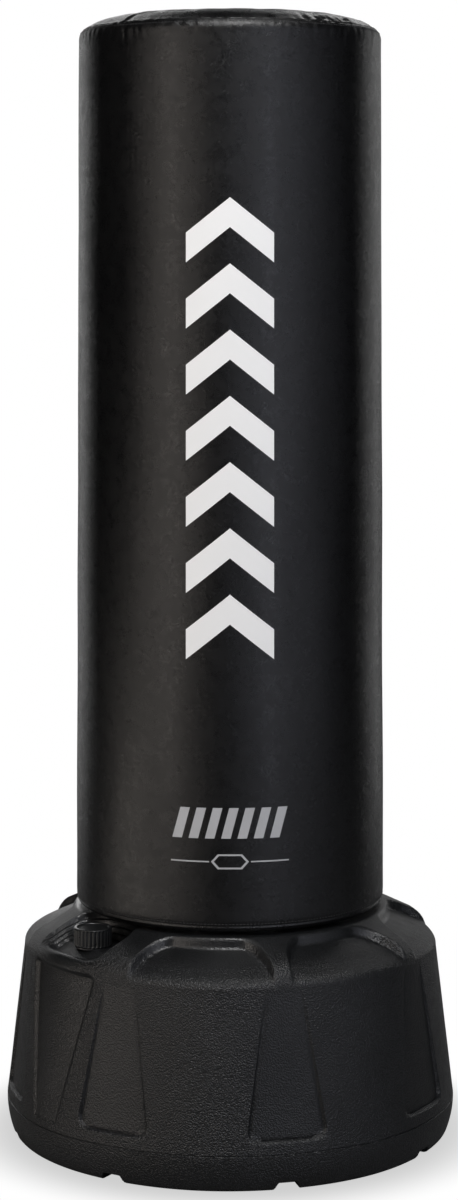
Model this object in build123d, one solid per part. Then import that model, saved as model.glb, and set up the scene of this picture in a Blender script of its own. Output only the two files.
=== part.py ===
"""Free-standing heavy punching bag: a padded column that screws onto a water-filled moulded base.

Units are millimetres, +Z is up, and the origin is on the floor at the centre of the base.
The front of the bag faces -Y. Azimuths are in degrees from the front, positive towards +X.
"""

from math import asin, cos, radians, sin, tan
import os

from build123d import *

os.makedirs("parts", exist_ok=True)

# ---------------------------------------------------------------- driving dimensions
TOTAL_H = 1720.0  # floor to the crown of the bag
BASE_R = 346.4  # widest ring of the base, at the mould's parting line
PARTING_Z = 55.0
FOOT_R = 330.0  # edge of the flat underside
PLATFORM_Z = 345.0  # top of the hub that carries the bag
PLATFORM_R = 238.0
SHOULDER_R, SHOULDER_Z = 320.0, 283.0  # where the side turns into the shoulder
TANK_WALL = 9.0
TANK_FLOOR_Z = 16.0
TANK_ROOF_Z = 337.0

BAYS = 8  # scooped bays of the shoulder, one of them the cap's pocket
RIB_AZ = 14.3  # azimuth of the first rib, with its side panel below it
RIB_WIDTH = 24.0
PANEL_LOW_Z, PANEL_HIGH_Z = 72.0, 283.0
PANEL_LOW_W, PANEL_HIGH_W = 118.0, 50.0
PANEL_DEPTH = 5.0
BAY_CORNER_R = 45.0
BAY_FLOOR_IN, BAY_FLOOR_OUT = (200.0, 336.0), (290.0, 314.0)  # slope of a bay's floor, (radius, height)
SHOULDER_MID, SHOULDER_TOP = (313.6, 305.0), (297.0, 320.0)  # on the arc that turns the side into the deck
GROOVE_WIDTH, GROOVE_HEIGHT, GROOVE_INNER_R = 35.0, 9.0, 120.0

CAP_AZ = RIB_AZ - 1.5 * 360.0 / BAYS
CAP_R = 257.0  # distance of the cap's axis from the bag's axis
POCKET_FLOOR_Z = 311.0
POCKET_R = 50.0
TERRACES = 3
TERRACE_RISE, TERRACE_TREAD = 8.0, 7.0
CHUTE_DEPTH = 6.0  # smooth recess in the side below the pocket

CAP_OUTER_R, CAP_HEIGHT = 28.5, 27.0
CAP_FLUTES = 30
NECK_BORE_R, NECK_ROOT_R, NECK_CREST_R = 16.0, 20.5, 22.7
NECK_TOP_Z = 335.0
NECK_FLANGE_R, NECK_FLANGE_T = 27.0, 2.0
CAP_LEAD = 4.0
GASKET_T = 1.6
FLUTE_R = 1.15

POST_ROOT_R, POST_CREST_R, POST_BORE_R = 62.0, 66.0, 52.0
POST_TOP_Z, POST_FOOT_Z = 470.0, 287.0
POST_FLANGE_R, POST_FLANGE_T = 90.0, 6.0
POST_SCREWS, POST_SCREW_PCD_R = 6, 76.0
BAG_LEAD = 16.0
BAG_THREAD_Z, BAG_THREAD_TURNS = 366.0, 3.0

COLLAR_BORE_R, COLLAR_CREST_R, COLLAR_OUTER_R = 67.2, 63.2, 75.8
COLLAR_TOP_Z = 428.0
THREAD_DROP = 5.7  # the collar's ridge runs this far under the post's, in the space between its turns
COLLAR_FLANGE_R, COLLAR_FLANGE_T = 108.0, 5.0
COLLAR_BOLTS, COLLAR_BOLT_PCD_R, BOLT_R = 6, 96.0, 4.0

WASHER_IN_R, WASHER_OUT_R = 112.0, 168.0
BOARD_LOW_Z, BOARD_T, BOARD_R = 351.0, 12.0, 225.0
TUBE_IN_R, TUBE_OUT_R, TUBE_TOP_Z = 76.2, 84.0, 1630.0
FOAM_SPLIT_R, FOAM_TOP_Z = 160.0, 1640.0

BAG_LOW_R, BAG_TOP_R = 238.0, 235.0
BAG_LOW_Z, BAG_SEAM_Z, BAG_SEAM_R = 349.6, 1697.0, 230.5
COVER_T = 1.4
CROWN_R, CROWN_SAG, CROWN_FLAT_R = 204.0, 6.4, 20.0  # shallow crown inside the top's rounded edge
HEM_IN_R = 182.0
STAPLES, STAPLE_PCD_R = 24, 200.0

CHEVRONS, CHEVRON_HALF_W, CHEVRON_RISE, CHEVRON_STROKE = 7, 65.0, 52.0, 44.0
CHEVRONS_LOW_Z, CHEVRONS_HIGH_Z = 752.0, 1433.0
BARS, BAR_PITCH, BAR_FIRST_X = 7, 24.0, -76.0
LINES_Z = 455.0
FILM_LOW, FILM_HIGH = 0.05, 0.25  # heights of a printed film's faces over the cover
FILM_SIDES = 144

SLIP = 0.3  # gap between neighbours that are not joined face to face
TALL = 60.0  # length by which a cutter passes the face that it opens


# ---------------------------------------------------------------- helpers
def turned(outline):
    """Solid of revolution about Z from closed lines drawn in (radius, height)."""
    return revolve(Plane.XZ * make_face(outline), axis=Axis.Z)


def ring(inner_r, outer_r, low_z, high_z):
    """Plain ring, or a disc where inner_r is 0."""
    height = high_z - low_z
    solid = Pos(0, 0, low_z + height / 2) * Cylinder(outer_r, height)
    if inner_r > 0:
        solid -= Pos(0, 0, low_z + height / 2) * Cylinder(inner_r, height + 1)
    return solid


def at_azimuth(azimuth, shape):
    """Turns a shape made on the front axis (-Y) to an azimuth, positive towards +X."""
    return Rot(0, 0, azimuth) * shape


def radial_place(azimuth, radius, height=0.0):
    """Location on a circle about Z, with its own axes left parallel to the frame's."""
    angle = radians(azimuth)
    return Pos(radius * sin(angle), -radius * cos(angle), height)


def around(count, make, first=0.0):
    """List of copies of make(azimuth) evenly round the circle."""
    return [make(first + index * 360.0 / count) for index in range(count)]


def thread_ridge(root_r, crest_r, root_w, crest_w, lead, start_z, turns, sunk=0.8):
    """Right-hand helical ridge. It points outwards where crest_r is over root_r, else inwards."""
    outward = 1.0 if crest_r > root_r else -1.0
    path = Helix(pitch=lead, height=lead * turns, radius=root_r)
    depth = abs(crest_r - root_r)
    section_plane = Plane(origin=path @ 0, x_dir=(outward, 0, 0), z_dir=path % 0)
    section = make_face(
        Polyline(
            (-sunk, -root_w / 2),
            (0, -root_w / 2),
            (depth, -crest_w / 2),
            (depth, crest_w / 2),
            (0, root_w / 2),
            (-sunk, root_w / 2),
            close=True,
        )
    )
    ridge = sweep(section_plane * section, path=path, is_frenet=True)
    return Pos(0, 0, start_z) * ridge


def side_radius(height):
    """Radius of the base's straight, tapering side at a height."""
    share = (height - PARTING_Z) / (SHOULDER_Z - PARTING_Z)
    return BASE_R + share * (SHOULDER_R - BASE_R)


def save(name, shape):
    """Writes one node, as a single solid or a group of separate solids."""
    solids = shape if isinstance(shape, list) else list(shape.solids())
    result = solids[0] if len(solids) == 1 else Compound(children=list(solids))
    export_step(result, f"parts/{name}.step")


# ---------------------------------------------------------------- base
def tank_body():
    """Outer form of the tank with its ribs at full height."""
    inset = BASE_R - FOOT_R
    foot_arc_r = (inset**2 + PARTING_Z**2) / (2 * inset)  # upright where it meets the parting line
    half_turn = asin(PARTING_Z / foot_arc_r) / 2
    foot_mid = (BASE_R - foot_arc_r * (1 - cos(half_turn)), PARTING_Z - foot_arc_r * sin(half_turn))
    outline = [
        Line((0, 0), (FOOT_R, 0)),
        ThreePointArc((FOOT_R, 0), foot_mid, (BASE_R, PARTING_Z)),
        Line((BASE_R, PARTING_Z), (SHOULDER_R, SHOULDER_Z)),
        ThreePointArc((SHOULDER_R, SHOULDER_Z), SHOULDER_MID, SHOULDER_TOP),
        Line(SHOULDER_TOP, (PLATFORM_R, PLATFORM_Z)),
        Line((PLATFORM_R, PLATFORM_Z), (0, PLATFORM_Z)),
        Line((0, PLATFORM_Z), (0, 0)),
    ]
    return turned(outline)


def bay_cutter(azimuth):
    """Scoop between two ribs: open outwards, with rounded corners at its inner wall."""
    half_gap = 180.0 / BAYS
    inner_r, outer_r = PLATFORM_R + 2.0, BASE_R + 10.0
    half_in = inner_r * tan(radians(half_gap)) - RIB_WIDTH / 2
    half_out = outer_r * tan(radians(half_gap)) - RIB_WIDTH / 2
    wall_y = -inner_r + 6
    plan = make_face(
        Polyline(
            (-half_in, wall_y),
            (half_in, wall_y),
            (half_out, -outer_r),
            (-half_out, -outer_r),
            close=True,
        )
    )
    inner_corners = plan.vertices().sort_by(Axis.Y)[-2:]
    plan = fillet(inner_corners, BAY_CORNER_R)
    prism = Pos(0, 0, SHOULDER_Z) * extrude(plan, TALL + 30)
    floor = turned(
        [
            Line(BAY_FLOOR_IN, BAY_FLOOR_OUT),
            ThreePointArc(BAY_FLOOR_OUT, (309.5, 303.5), (SHOULDER_R - 0.4, SHOULDER_Z + 3)),
            Line((SHOULDER_R - 0.4, SHOULDER_Z + 3), (BASE_R + 20, SHOULDER_Z + 3)),
            Line((BASE_R + 20, SHOULDER_Z + 3), (BASE_R + 20, PLATFORM_Z + 20)),
            Line((BASE_R + 20, PLATFORM_Z + 20), (BAY_FLOOR_IN[0], PLATFORM_Z + 20)),
            Line((BAY_FLOOR_IN[0], PLATFORM_Z + 20), BAY_FLOOR_IN),
        ]
    )
    return at_azimuth(azimuth, prism & floor)


def pocket_cutter():
    """Terraced well for the filling cap, open outwards through the shoulder."""
    cutter = None
    for step in range(TERRACES + 1):
        radius = POCKET_R + step * TERRACE_TREAD
        low_z = POCKET_FLOOR_Z + step * TERRACE_RISE
        plan = Pos(0, -CAP_R) * Circle(radius) + Pos(0, -CAP_R - 60) * Rectangle(2 * radius, 120)
        tier = Pos(0, 0, low_z) * extrude(plan, TALL)
        cutter = tier if cutter is None else cutter + tier
    return at_azimuth(CAP_AZ, cutter)


def chute_cutter():
    """Smooth inverted trapezoid recess in the side, below the pocket."""
    face = make_face(Polyline((-30.0, 58.0), (30.0, 58.0), (84.0, 300.0), (-84.0, 300.0), close=True))
    face = fillet(face.vertices().sort_by(Axis.Y)[:2], 12.0)
    prism = extrude(Plane.XZ * face, BASE_R + 30)
    low_r, high_r = side_radius(PANEL_LOW_Z - 20), side_radius(300.0)
    band = turned(
        Polyline(
            (low_r, PANEL_LOW_Z - 20),
            (low_r - CHUTE_DEPTH + 2, PANEL_LOW_Z + 40),
            (high_r - CHUTE_DEPTH, 300.0),
            (high_r + TALL, 300.0),
            (low_r + TALL, PANEL_LOW_Z - 20),
            close=True,
        )
    )
    return at_azimuth(CAP_AZ, prism & band)


def panel_cutter(azimuth):
    """Tapering side panel whose recess fades out towards the shoulder."""
    face = make_face(
        Polyline(
            (-PANEL_LOW_W / 2, PANEL_LOW_Z),
            (PANEL_LOW_W / 2, PANEL_LOW_Z),
            (PANEL_HIGH_W / 2, PANEL_HIGH_Z),
            (-PANEL_HIGH_W / 2, PANEL_HIGH_Z),
            close=True,
        )
    )
    face = fillet(face.vertices().sort_by(Axis.Y)[:2], 20.0)
    prism = extrude(Plane.XZ * face, BASE_R + 30)
    low_z, high_z = PANEL_LOW_Z - 2, PANEL_HIGH_Z + 2
    band = turned(
        Polyline(
            (side_radius(low_z) - PANEL_DEPTH, low_z),
            (side_radius(high_z), high_z),
            (side_radius(high_z) + TALL, high_z),
            (side_radius(low_z) + TALL, low_z),
            close=True,
        )
    )
    return at_azimuth(azimuth, prism & band)


def groove_cutter(azimuth):
    """Radial drain groove across the underside."""
    length = BASE_R + 10 - GROOVE_INNER_R
    middle = GROOVE_INNER_R + length / 2
    return at_azimuth(azimuth, Pos(0, -middle, 0) * Box(GROOVE_WIDTH, length, 2 * GROOVE_HEIGHT))


def tank_cavity(shrink=0.0, roof_z=None):
    """Hollow of the tank, or with a shrink and a roof the water that stands in it."""
    wall = TANK_WALL + shrink
    low_z = TANK_FLOOR_Z + shrink
    side_low, side_high = BASE_R - wall, SHOULDER_R - wall
    roof = [
        (side_high, SHOULDER_Z - 4),
        (290.0 - shrink, 303.0 - shrink),
        (PLATFORM_R - 6, 320.0 - shrink),
        (PLATFORM_R - 10, TANK_ROOF_Z - shrink),
        (POST_FLANGE_R + 10, TANK_ROOF_Z - shrink),
        (POST_FLANGE_R + 10, 331.0 - shrink),
        (0, 331.0 - shrink),
    ]
    body = turned(Polyline((0, low_z), (side_low - 16, low_z), (side_low, PARTING_Z), *roof, close=True))
    body -= ring(0, POST_ROOT_R + 4 + shrink, POST_FOOT_Z - 10 - shrink, PLATFORM_Z)
    housing_r = POCKET_R + TERRACES * TERRACE_TREAD + 8 + shrink
    housing_z = POCKET_FLOOR_Z - 7 - shrink
    housing = Circle(housing_r) + Pos(0, -60) * Rectangle(2 * housing_r, 120)
    body -= at_azimuth(CAP_AZ, Pos(0, -CAP_R, housing_z) * extrude(housing, TALL))
    if roof_z is not None:
        body &= ring(0, BASE_R, 0, roof_z)
    return body


def base_tank():
    """Rotationally moulded tank with ribs, scooped bays, cap pocket, panels and foot grooves."""
    tank = tank_body()
    bay_step = 360.0 / BAYS
    for index in range(BAYS):
        bay_az = RIB_AZ + (index + 0.5) * bay_step
        if abs((bay_az - CAP_AZ + 180.0) % 360.0 - 180.0) > 1.0:
            tank -= bay_cutter(bay_az)
    tank -= pocket_cutter()
    tank -= chute_cutter()
    for azimuth in around(BAYS, lambda az: az, RIB_AZ):
        tank -= panel_cutter(azimuth)
        tank -= groove_cutter(azimuth)
    tank -= tank_cavity()
    tank -= ring(0, POST_ROOT_R - 4.2, POST_FOOT_Z - SLIP, PLATFORM_Z + 1)
    tank -= ring(0, POST_FLANGE_R + SLIP, PLATFORM_Z - POST_FLANGE_T, PLATFORM_Z + 1)
    for azimuth in around(POST_SCREWS, lambda az: az):
        tank -= radial_place(azimuth, POST_SCREW_PCD_R, 332.0) * Cylinder(3.3, 20.0)
    tank -= radial_place(CAP_AZ, CAP_R, POCKET_FLOOR_Z) * Cylinder(NECK_ROOT_R + SLIP, 30.0)
    return tank


def threaded_post():
    """Hollow neck that the bag screws onto, spigoted and screwed into the hub."""
    post = ring(0, POST_ROOT_R - 4.5, POST_FOOT_Z, PLATFORM_Z)
    post += ring(0, POST_FLANGE_R, PLATFORM_Z - POST_FLANGE_T, PLATFORM_Z)
    post += ring(0, POST_ROOT_R, PLATFORM_Z, POST_TOP_Z)
    post = chamfer(post.edges().group_by(Axis.Z)[-1], 4.0)
    post += thread_ridge(POST_ROOT_R, POST_CREST_R, 6.0, 4.0, BAG_LEAD, BAG_THREAD_Z, BAG_THREAD_TURNS)
    post -= ring(0, POST_BORE_R, POST_FOOT_Z + 6, POST_TOP_Z + 1)
    for azimuth in around(POST_SCREWS, lambda az: az):
        post -= radial_place(azimuth, POST_SCREW_PCD_R, PLATFORM_Z) * Cylinder(3.4, 20.0)
        post -= radial_place(azimuth, POST_SCREW_PCD_R, PLATFORM_Z - 1.7) * Cone(3.4, 6.8, 3.4)
    return post


def post_screw(azimuth):
    """Countersunk screw that holds the post's flange to the hub."""
    shank = Pos(0, 0, PLATFORM_Z - 12.0) * Cylinder(3.0, 18.0)
    head = Pos(0, 0, PLATFORM_Z - 1.9) * Cone(3.0, 6.4, 3.4)
    drive = Pos(0, 0, PLATFORM_Z - 0.6) * Box(5.0, 1.2, 2.4)
    screw = shank + head - drive - Rot(0, 0, 90) * drive
    return radial_place(azimuth, POST_SCREW_PCD_R) * screw


def post_insert(azimuth):
    """Knurled brass insert moulded into the hub for one post screw."""
    sleeve = Pos(0, 0, 330.0) * (Cylinder(3.25, 8.0) - Cylinder(3.02, 9.0))
    return radial_place(azimuth, POST_SCREW_PCD_R) * sleeve


# ---------------------------------------------------------------- filling neck and cap
def fill_neck():
    """Threaded filling neck, fixed in the floor of the pocket."""
    neck = ring(0, NECK_ROOT_R, POCKET_FLOOR_Z - 11, NECK_TOP_Z)
    neck += ring(0, NECK_FLANGE_R, POCKET_FLOOR_Z, POCKET_FLOOR_Z + NECK_FLANGE_T)
    neck += thread_ridge(NECK_ROOT_R, NECK_CREST_R, 2.0, 1.2, CAP_LEAD, 319.0, 3.0, 0.6)
    neck -= ring(0, NECK_BORE_R, POCKET_FLOOR_Z - 20, NECK_TOP_Z + 1)
    return radial_place(CAP_AZ, CAP_R) * neck


def cap_gasket():
    """Flat sealing ring that lies on the neck's rim."""
    seal = ring(NECK_BORE_R + 0.4, NECK_ROOT_R - 0.4, NECK_TOP_Z, NECK_TOP_Z + GASKET_T)
    return radial_place(CAP_AZ, CAP_R) * seal


def fill_cap():
    """Fluted screw cap with a rimmed top."""
    low_z = POCKET_FLOOR_Z + NECK_FLANGE_T + 0.5
    top_z = low_z + CAP_HEIGHT
    cap = ring(0, CAP_OUTER_R, low_z, top_z)
    cap = fillet(cap.edges().group_by(Axis.Z)[-1], 1.6)
    cap -= ring(0, CAP_OUTER_R - 5.5, top_z - 1.8, top_z + 1)
    flute_length = CAP_HEIGHT - 5.0
    flute = Pos(0, 0, low_z + flute_length / 2 - 1) * Cylinder(FLUTE_R, flute_length)
    for azimuth in around(CAP_FLUTES, lambda az: az):
        cap -= radial_place(azimuth, CAP_OUTER_R + 0.25) * flute
    bore_r = NECK_CREST_R + 1.2
    cap -= ring(0, bore_r, low_z - 1, NECK_TOP_Z + GASKET_T + 0.4)
    cap += thread_ridge(bore_r, NECK_ROOT_R + 1.0, 2.0, 1.2, CAP_LEAD, 317.0, 3.0, 0.6)
    return radial_place(CAP_AZ, CAP_R) * cap


# ---------------------------------------------------------------- bag
def bag_radius(height):
    """Outer radius of the padded column, slightly slimmer at the top."""
    share = (height - BAG_LOW_Z) / (BAG_SEAM_Z - BAG_LOW_Z)
    return BAG_LOW_R + share * (BAG_TOP_R - BAG_LOW_R)


def slip_washer():
    """Plastic ring between the hub and the bag's bottom board."""
    return ring(WASHER_IN_R, WASHER_OUT_R, PLATFORM_Z, BOARD_LOW_Z - SLIP)


def collar_holes(radius, low_z, high_z):
    """Cylinders for the collar's bolt circle."""
    hole = Pos(0, 0, (low_z + high_z) / 2) * Cylinder(radius, high_z - low_z)
    return around(COLLAR_BOLTS, lambda az: radial_place(az, COLLAR_BOLT_PCD_R) * hole)


def threaded_collar():
    """Moulded socket in the bag's foot whose thread turns on the post."""
    board_top = BOARD_LOW_Z + BOARD_T
    collar = ring(0, COLLAR_OUTER_R, BOARD_LOW_Z + 0.5, COLLAR_TOP_Z)
    collar += ring(0, COLLAR_FLANGE_R, board_top, board_top + COLLAR_FLANGE_T)
    collar -= ring(0, COLLAR_BORE_R, BOARD_LOW_Z - 1, COLLAR_TOP_Z + 1)
    start_z = BAG_THREAD_Z - THREAD_DROP
    collar += thread_ridge(COLLAR_BORE_R, COLLAR_CREST_R, 6.0, 4.0, BAG_LEAD, start_z, BAG_THREAD_TURNS)
    for hole in collar_holes(BOLT_R + SLIP, board_top - 1, board_top + COLLAR_FLANGE_T + 1):
        collar -= hole
    return collar


def bottom_board():
    """Plywood disc that closes the bag's foot."""
    board = ring(COLLAR_OUTER_R + SLIP, BOARD_R, BOARD_LOW_Z, BOARD_LOW_Z + BOARD_T)
    for hole in collar_holes(BOLT_R + 1.2, BOARD_LOW_Z - 1, BOARD_LOW_Z + BOARD_T + 1):
        board -= hole
    for seat in collar_holes(9.3, BOARD_LOW_Z - 1, BOARD_LOW_Z + 1.6):
        board -= seat
    return board


def collar_bolt(azimuth):
    """Domed bolt through the collar's flange into its tee nut."""
    seat_z = BOARD_LOW_Z + BOARD_T + COLLAR_FLANGE_T
    shank = ring(0, BOLT_R, BOARD_LOW_Z + 0.6, seat_z)
    head = ring(0, 8.0, seat_z, seat_z + 4.5)
    head = fillet(head.edges().group_by(Axis.Z)[-1], 3.0)
    return radial_place(azimuth, COLLAR_BOLT_PCD_R) * (shank + head)


def tee_nut(azimuth):
    """Tee nut let into the underside of the board."""
    low_z = BOARD_LOW_Z + 0.1
    nut = ring(0, 9.0, low_z, low_z + 1.4)
    nut += ring(0, BOLT_R + 1.0, low_z, low_z + 8.9)
    nut -= ring(0, BOLT_R + 0.05, low_z - 1, low_z + 10)
    return radial_place(azimuth, COLLAR_BOLT_PCD_R) * nut


def foam_inner():
    """Firm foam sleeve round the core tube, relieved over the collar's bolts."""
    low_z = BOARD_LOW_Z + BOARD_T + SLIP
    relief_z = low_z + COLLAR_FLANGE_T + 6.0
    return turned(
        Polyline(
            (COLLAR_FLANGE_R + 2, low_z),
            (FOAM_SPLIT_R, low_z),
            (FOAM_SPLIT_R, FOAM_TOP_Z),
            (TUBE_OUT_R + SLIP, FOAM_TOP_Z),
            (TUBE_OUT_R + SLIP, relief_z),
            (COLLAR_FLANGE_R + 2, relief_z),
            close=True,
        )
    )


def foam_outer():
    """Soft foam sleeve under the cover."""
    low_z = BOARD_LOW_Z + BOARD_T + SLIP
    gap = COVER_T + SLIP
    outline = [
        Line((FOAM_SPLIT_R + SLIP, low_z), (BAG_LOW_R - 8, low_z)),
        Line((BAG_LOW_R - 8, low_z), (bag_radius(low_z + 6) - gap, low_z + 6)),
        Line((bag_radius(low_z + 6) - gap, low_z + 6), (bag_radius(FOAM_TOP_Z) - gap, FOAM_TOP_Z)),
        Line((bag_radius(FOAM_TOP_Z) - gap, FOAM_TOP_Z), (FOAM_SPLIT_R + SLIP, FOAM_TOP_Z)),
        Line((FOAM_SPLIT_R + SLIP, FOAM_TOP_Z), (FOAM_SPLIT_R + SLIP, low_z)),
    ]
    return turned(outline)


def foam_top():
    """Crowned foam disc over the end of the core, with room for the cover's gathers at its rim."""
    low_z, top_z = FOAM_TOP_Z + SLIP, TOTAL_H - 5.0
    low_edge = (bag_radius(low_z) - COVER_T - SLIP, low_z)
    rim, crown = (BAG_TOP_R - 9, 1682.0), (196.0, 1705.0)
    outline = [
        Line((0, low_z), low_edge),
        Line(low_edge, rim),
        ThreePointArc(rim, (219.0, 1694.0), crown),
        Line(crown, (110.0, top_z - 3.0)),
        Line((110.0, top_z - 3.0), (0, top_z)),
        Line((0, top_z), (0, low_z)),
    ]
    return turned(outline)


def core_tube():
    """Stiff tube that stands on the collar's flange, up the middle of the bag."""
    return ring(TUBE_IN_R, TUBE_OUT_R, BOARD_LOW_Z + BOARD_T + COLLAR_FLANGE_T, TUBE_TOP_Z)


def core_plug():
    """Moulded plug, a skirt under a disc, that closes the top of the core tube."""
    skirt = ring(TUBE_IN_R - 6, TUBE_IN_R - SLIP, TUBE_TOP_Z - 30, TUBE_TOP_Z)
    return skirt + ring(0, TUBE_OUT_R, TUBE_TOP_Z, TUBE_TOP_Z + 6)


def cover_side():
    """Vinyl cylinder of the cover, from the turned hem to the top seam."""
    low, high = BAG_LOW_R, bag_radius(1684.0)
    outline = [
        Line((234.0, BAG_LOW_Z + COVER_T), (234.0, BAG_LOW_Z)),
        ThreePointArc((234.0, BAG_LOW_Z), (low - 0.6, BAG_LOW_Z + 4.0), (low, BAG_LOW_Z + 12)),
        Line((low, BAG_LOW_Z + 12), (high, 1684.0)),
        ThreePointArc((high, 1684.0), (high - 1.2, 1691.0), (BAG_SEAM_R, BAG_SEAM_Z - 0.2)),
        Line((BAG_SEAM_R, BAG_SEAM_Z - 0.2), (BAG_SEAM_R - 1.2, BAG_SEAM_Z - 1.4)),
        ThreePointArc((BAG_SEAM_R - 1.2, BAG_SEAM_Z - 1.4), (high - 2.6, 1690.4), (high - COVER_T, 1684.0)),
        Line((high - COVER_T, 1684.0), (low - COVER_T, BAG_LOW_Z + 12)),
        Line((low - COVER_T, BAG_LOW_Z + 12), (234.0, BAG_LOW_Z + COVER_T)),
    ]
    return turned(outline)


def cover_top():
    """Crowned vinyl disc of the cover, sewn to the cylinder."""
    edge = (BAG_SEAM_R, BAG_SEAM_Z)
    edge_in = (BAG_SEAM_R - 2.0, BAG_SEAM_Z + 0.2)
    inside_z = TOTAL_H - COVER_T
    turn, turn_in = (CROWN_R, TOTAL_H - CROWN_SAG), (CROWN_R, inside_z - CROWN_SAG)
    flat, flat_in = (CROWN_FLAT_R, TOTAL_H), (CROWN_FLAT_R, inside_z)
    halfway = (CROWN_R / 2, TOTAL_H - CROWN_SAG / 4)
    halfway_in = (CROWN_R / 2, inside_z - CROWN_SAG / 4)
    outline = [
        ThreePointArc(edge, (220.5, 1706.4), turn),
        ThreePointArc(turn, halfway, flat),
        Polyline(flat, (0, TOTAL_H), (0, inside_z), flat_in),
        ThreePointArc(flat_in, halfway_in, turn_in),
        ThreePointArc(turn_in, (219.6, 1705.2), edge_in),
        Line(edge_in, edge),
    ]
    return turned(outline)


def cover_hem():
    """Edge of the cover, turned under the board."""
    return ring(HEM_IN_R, 233.6, BAG_LOW_Z, BOARD_LOW_Z)


def hem_staple(azimuth):
    """Wide-crown staple that fixes the hem to the board."""
    crown = Pos(0, 0, BAG_LOW_Z - 0.4) * Box(12.0, 1.2, 0.8)
    leg = Box(0.8, 1.2, 9.0)
    staple = crown + Pos(-5.6, 0, BAG_LOW_Z + 3.7) * leg + Pos(5.6, 0, BAG_LOW_Z + 3.7) * leg
    return at_azimuth(azimuth, Pos(0, -STAPLE_PCD_R, 0) * staple)


def film_core(lift):
    """Flat-sided taper that stands a little over the cover, flat so that thin films stay exact."""
    rims = [Pos(0, 0, z) * RegularPolygon(bag_radius(z) + lift, FILM_SIDES, major_radius=False) for z in (400, 1600)]
    return loft(rims, ruled=True)


def printed(faces):
    """Thin printed films that follow the cover, from shapes drawn in the front plane."""
    skin = film_core(FILM_HIGH) - film_core(FILM_LOW)
    films = [extrude(Plane.XZ * face, BAG_LOW_R + 20) & skin for face in faces]
    return [solid for film in films for solid in film.solids()]


def chevron(height):
    """Chevron that points up, centred on x = 0, drawn in (x, height)."""
    return make_face(
        Polyline(
            (-CHEVRON_HALF_W, height),
            (0, height + CHEVRON_RISE),
            (CHEVRON_HALF_W, height),
            (CHEVRON_HALF_W, height + CHEVRON_STROKE),
            (0, height + CHEVRON_RISE + CHEVRON_STROKE),
            (-CHEVRON_HALF_W, height + CHEVRON_STROKE),
            close=True,
        )
    )


def lozenge(half_width, half_flat, half_height):
    """Flat-topped lozenge centred on the thin lines, drawn in (x, height)."""
    return make_face(
        Polyline(
            (-half_width, LINES_Z),
            (-half_flat, LINES_Z - half_height),
            (half_flat, LINES_Z - half_height),
            (half_width, LINES_Z),
            (half_flat, LINES_Z + half_height),
            (-half_flat, LINES_Z + half_height),
            close=True,
        )
    )


def front_marks():
    """Column of chevrons, the bag's plain decoration."""
    pitch = (CHEVRONS_HIGH_Z - CHEVRONS_LOW_Z - CHEVRON_RISE - CHEVRON_STROKE) / (CHEVRONS - 1)
    return printed([chevron(CHEVRONS_LOW_Z + index * pitch) for index in range(CHEVRONS)])


def lower_marks():
    """Row of slanted bars over two thin lines with a lozenge between them."""
    bar = make_face(Polyline((-9.0, 489.0), (5.0, 489.0), (17.0, 534.0), (3.0, 534.0), close=True))
    bars = [Pos(BAR_FIRST_X + index * BAR_PITCH, 0) * bar for index in range(BARS)]
    lines = [Pos(side * 59.0, LINES_Z) * Rectangle(56.0, 2.0) for side in (-1, 1)]
    return printed([*bars, *lines, lozenge(28.0, 18.0, 11.0) - lozenge(24.0, 16.0, 8.5)])


# ---------------------------------------------------------------- nodes
save("base_tank", base_tank())
save("ballast_water", tank_cavity(0.6, 296.0))
save("threaded_post", threaded_post())
save("post_screws", around(POST_SCREWS, post_screw))
save("post_inserts", around(POST_SCREWS, post_insert))
save("fill_neck", fill_neck())
save("cap_gasket", cap_gasket())
save("fill_cap", fill_cap())
save("slip_washer", slip_washer())
save("threaded_collar", threaded_collar())
save("collar_bolts", around(COLLAR_BOLTS, collar_bolt))
save("tee_nuts", around(COLLAR_BOLTS, tee_nut))
save("bottom_board", bottom_board())
save("core_tube", core_tube())
save("core_plug", core_plug())
save("foam_inner", foam_inner())
save("foam_outer", foam_outer())
save("foam_top", foam_top())
save("cover_side", cover_side())
save("cover_top", cover_top())
save("cover_hem", cover_hem())
save("hem_staples", around(STAPLES, hem_staple))
save("front_marks", front_marks())
save("lower_marks", lower_marks())
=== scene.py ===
"""Visible model of a free-standing heavy punching bag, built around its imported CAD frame.

Finished pieces are in metres in the frame's own axes: +Z up, the printed front towards -Y.
Sizes in the classes are in millimetres and are scaled once, when a mesh is finished.
Azimuths are in radians from the front, positive towards +X.
"""

import logging
import math
import random
from dataclasses import dataclass, field
from enum import Enum

import bmesh
import bpy
from mathutils import Matrix, Vector, noise
from mathutils.bvhtree import BVHTree

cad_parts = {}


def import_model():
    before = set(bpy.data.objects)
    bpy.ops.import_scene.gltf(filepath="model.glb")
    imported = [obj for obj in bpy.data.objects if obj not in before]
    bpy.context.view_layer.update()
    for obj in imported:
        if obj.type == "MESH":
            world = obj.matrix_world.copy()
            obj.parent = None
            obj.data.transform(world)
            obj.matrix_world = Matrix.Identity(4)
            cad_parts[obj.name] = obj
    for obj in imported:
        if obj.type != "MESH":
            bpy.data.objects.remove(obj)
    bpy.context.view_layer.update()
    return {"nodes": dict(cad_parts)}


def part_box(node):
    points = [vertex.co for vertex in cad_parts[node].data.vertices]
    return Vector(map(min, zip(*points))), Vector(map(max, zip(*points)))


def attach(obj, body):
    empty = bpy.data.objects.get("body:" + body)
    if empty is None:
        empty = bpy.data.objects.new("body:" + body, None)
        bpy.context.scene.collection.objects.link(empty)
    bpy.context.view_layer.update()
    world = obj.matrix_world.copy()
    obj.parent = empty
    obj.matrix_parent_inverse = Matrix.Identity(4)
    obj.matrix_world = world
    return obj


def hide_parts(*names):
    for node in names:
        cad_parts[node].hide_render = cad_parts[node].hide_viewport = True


MM = 0.001
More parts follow.
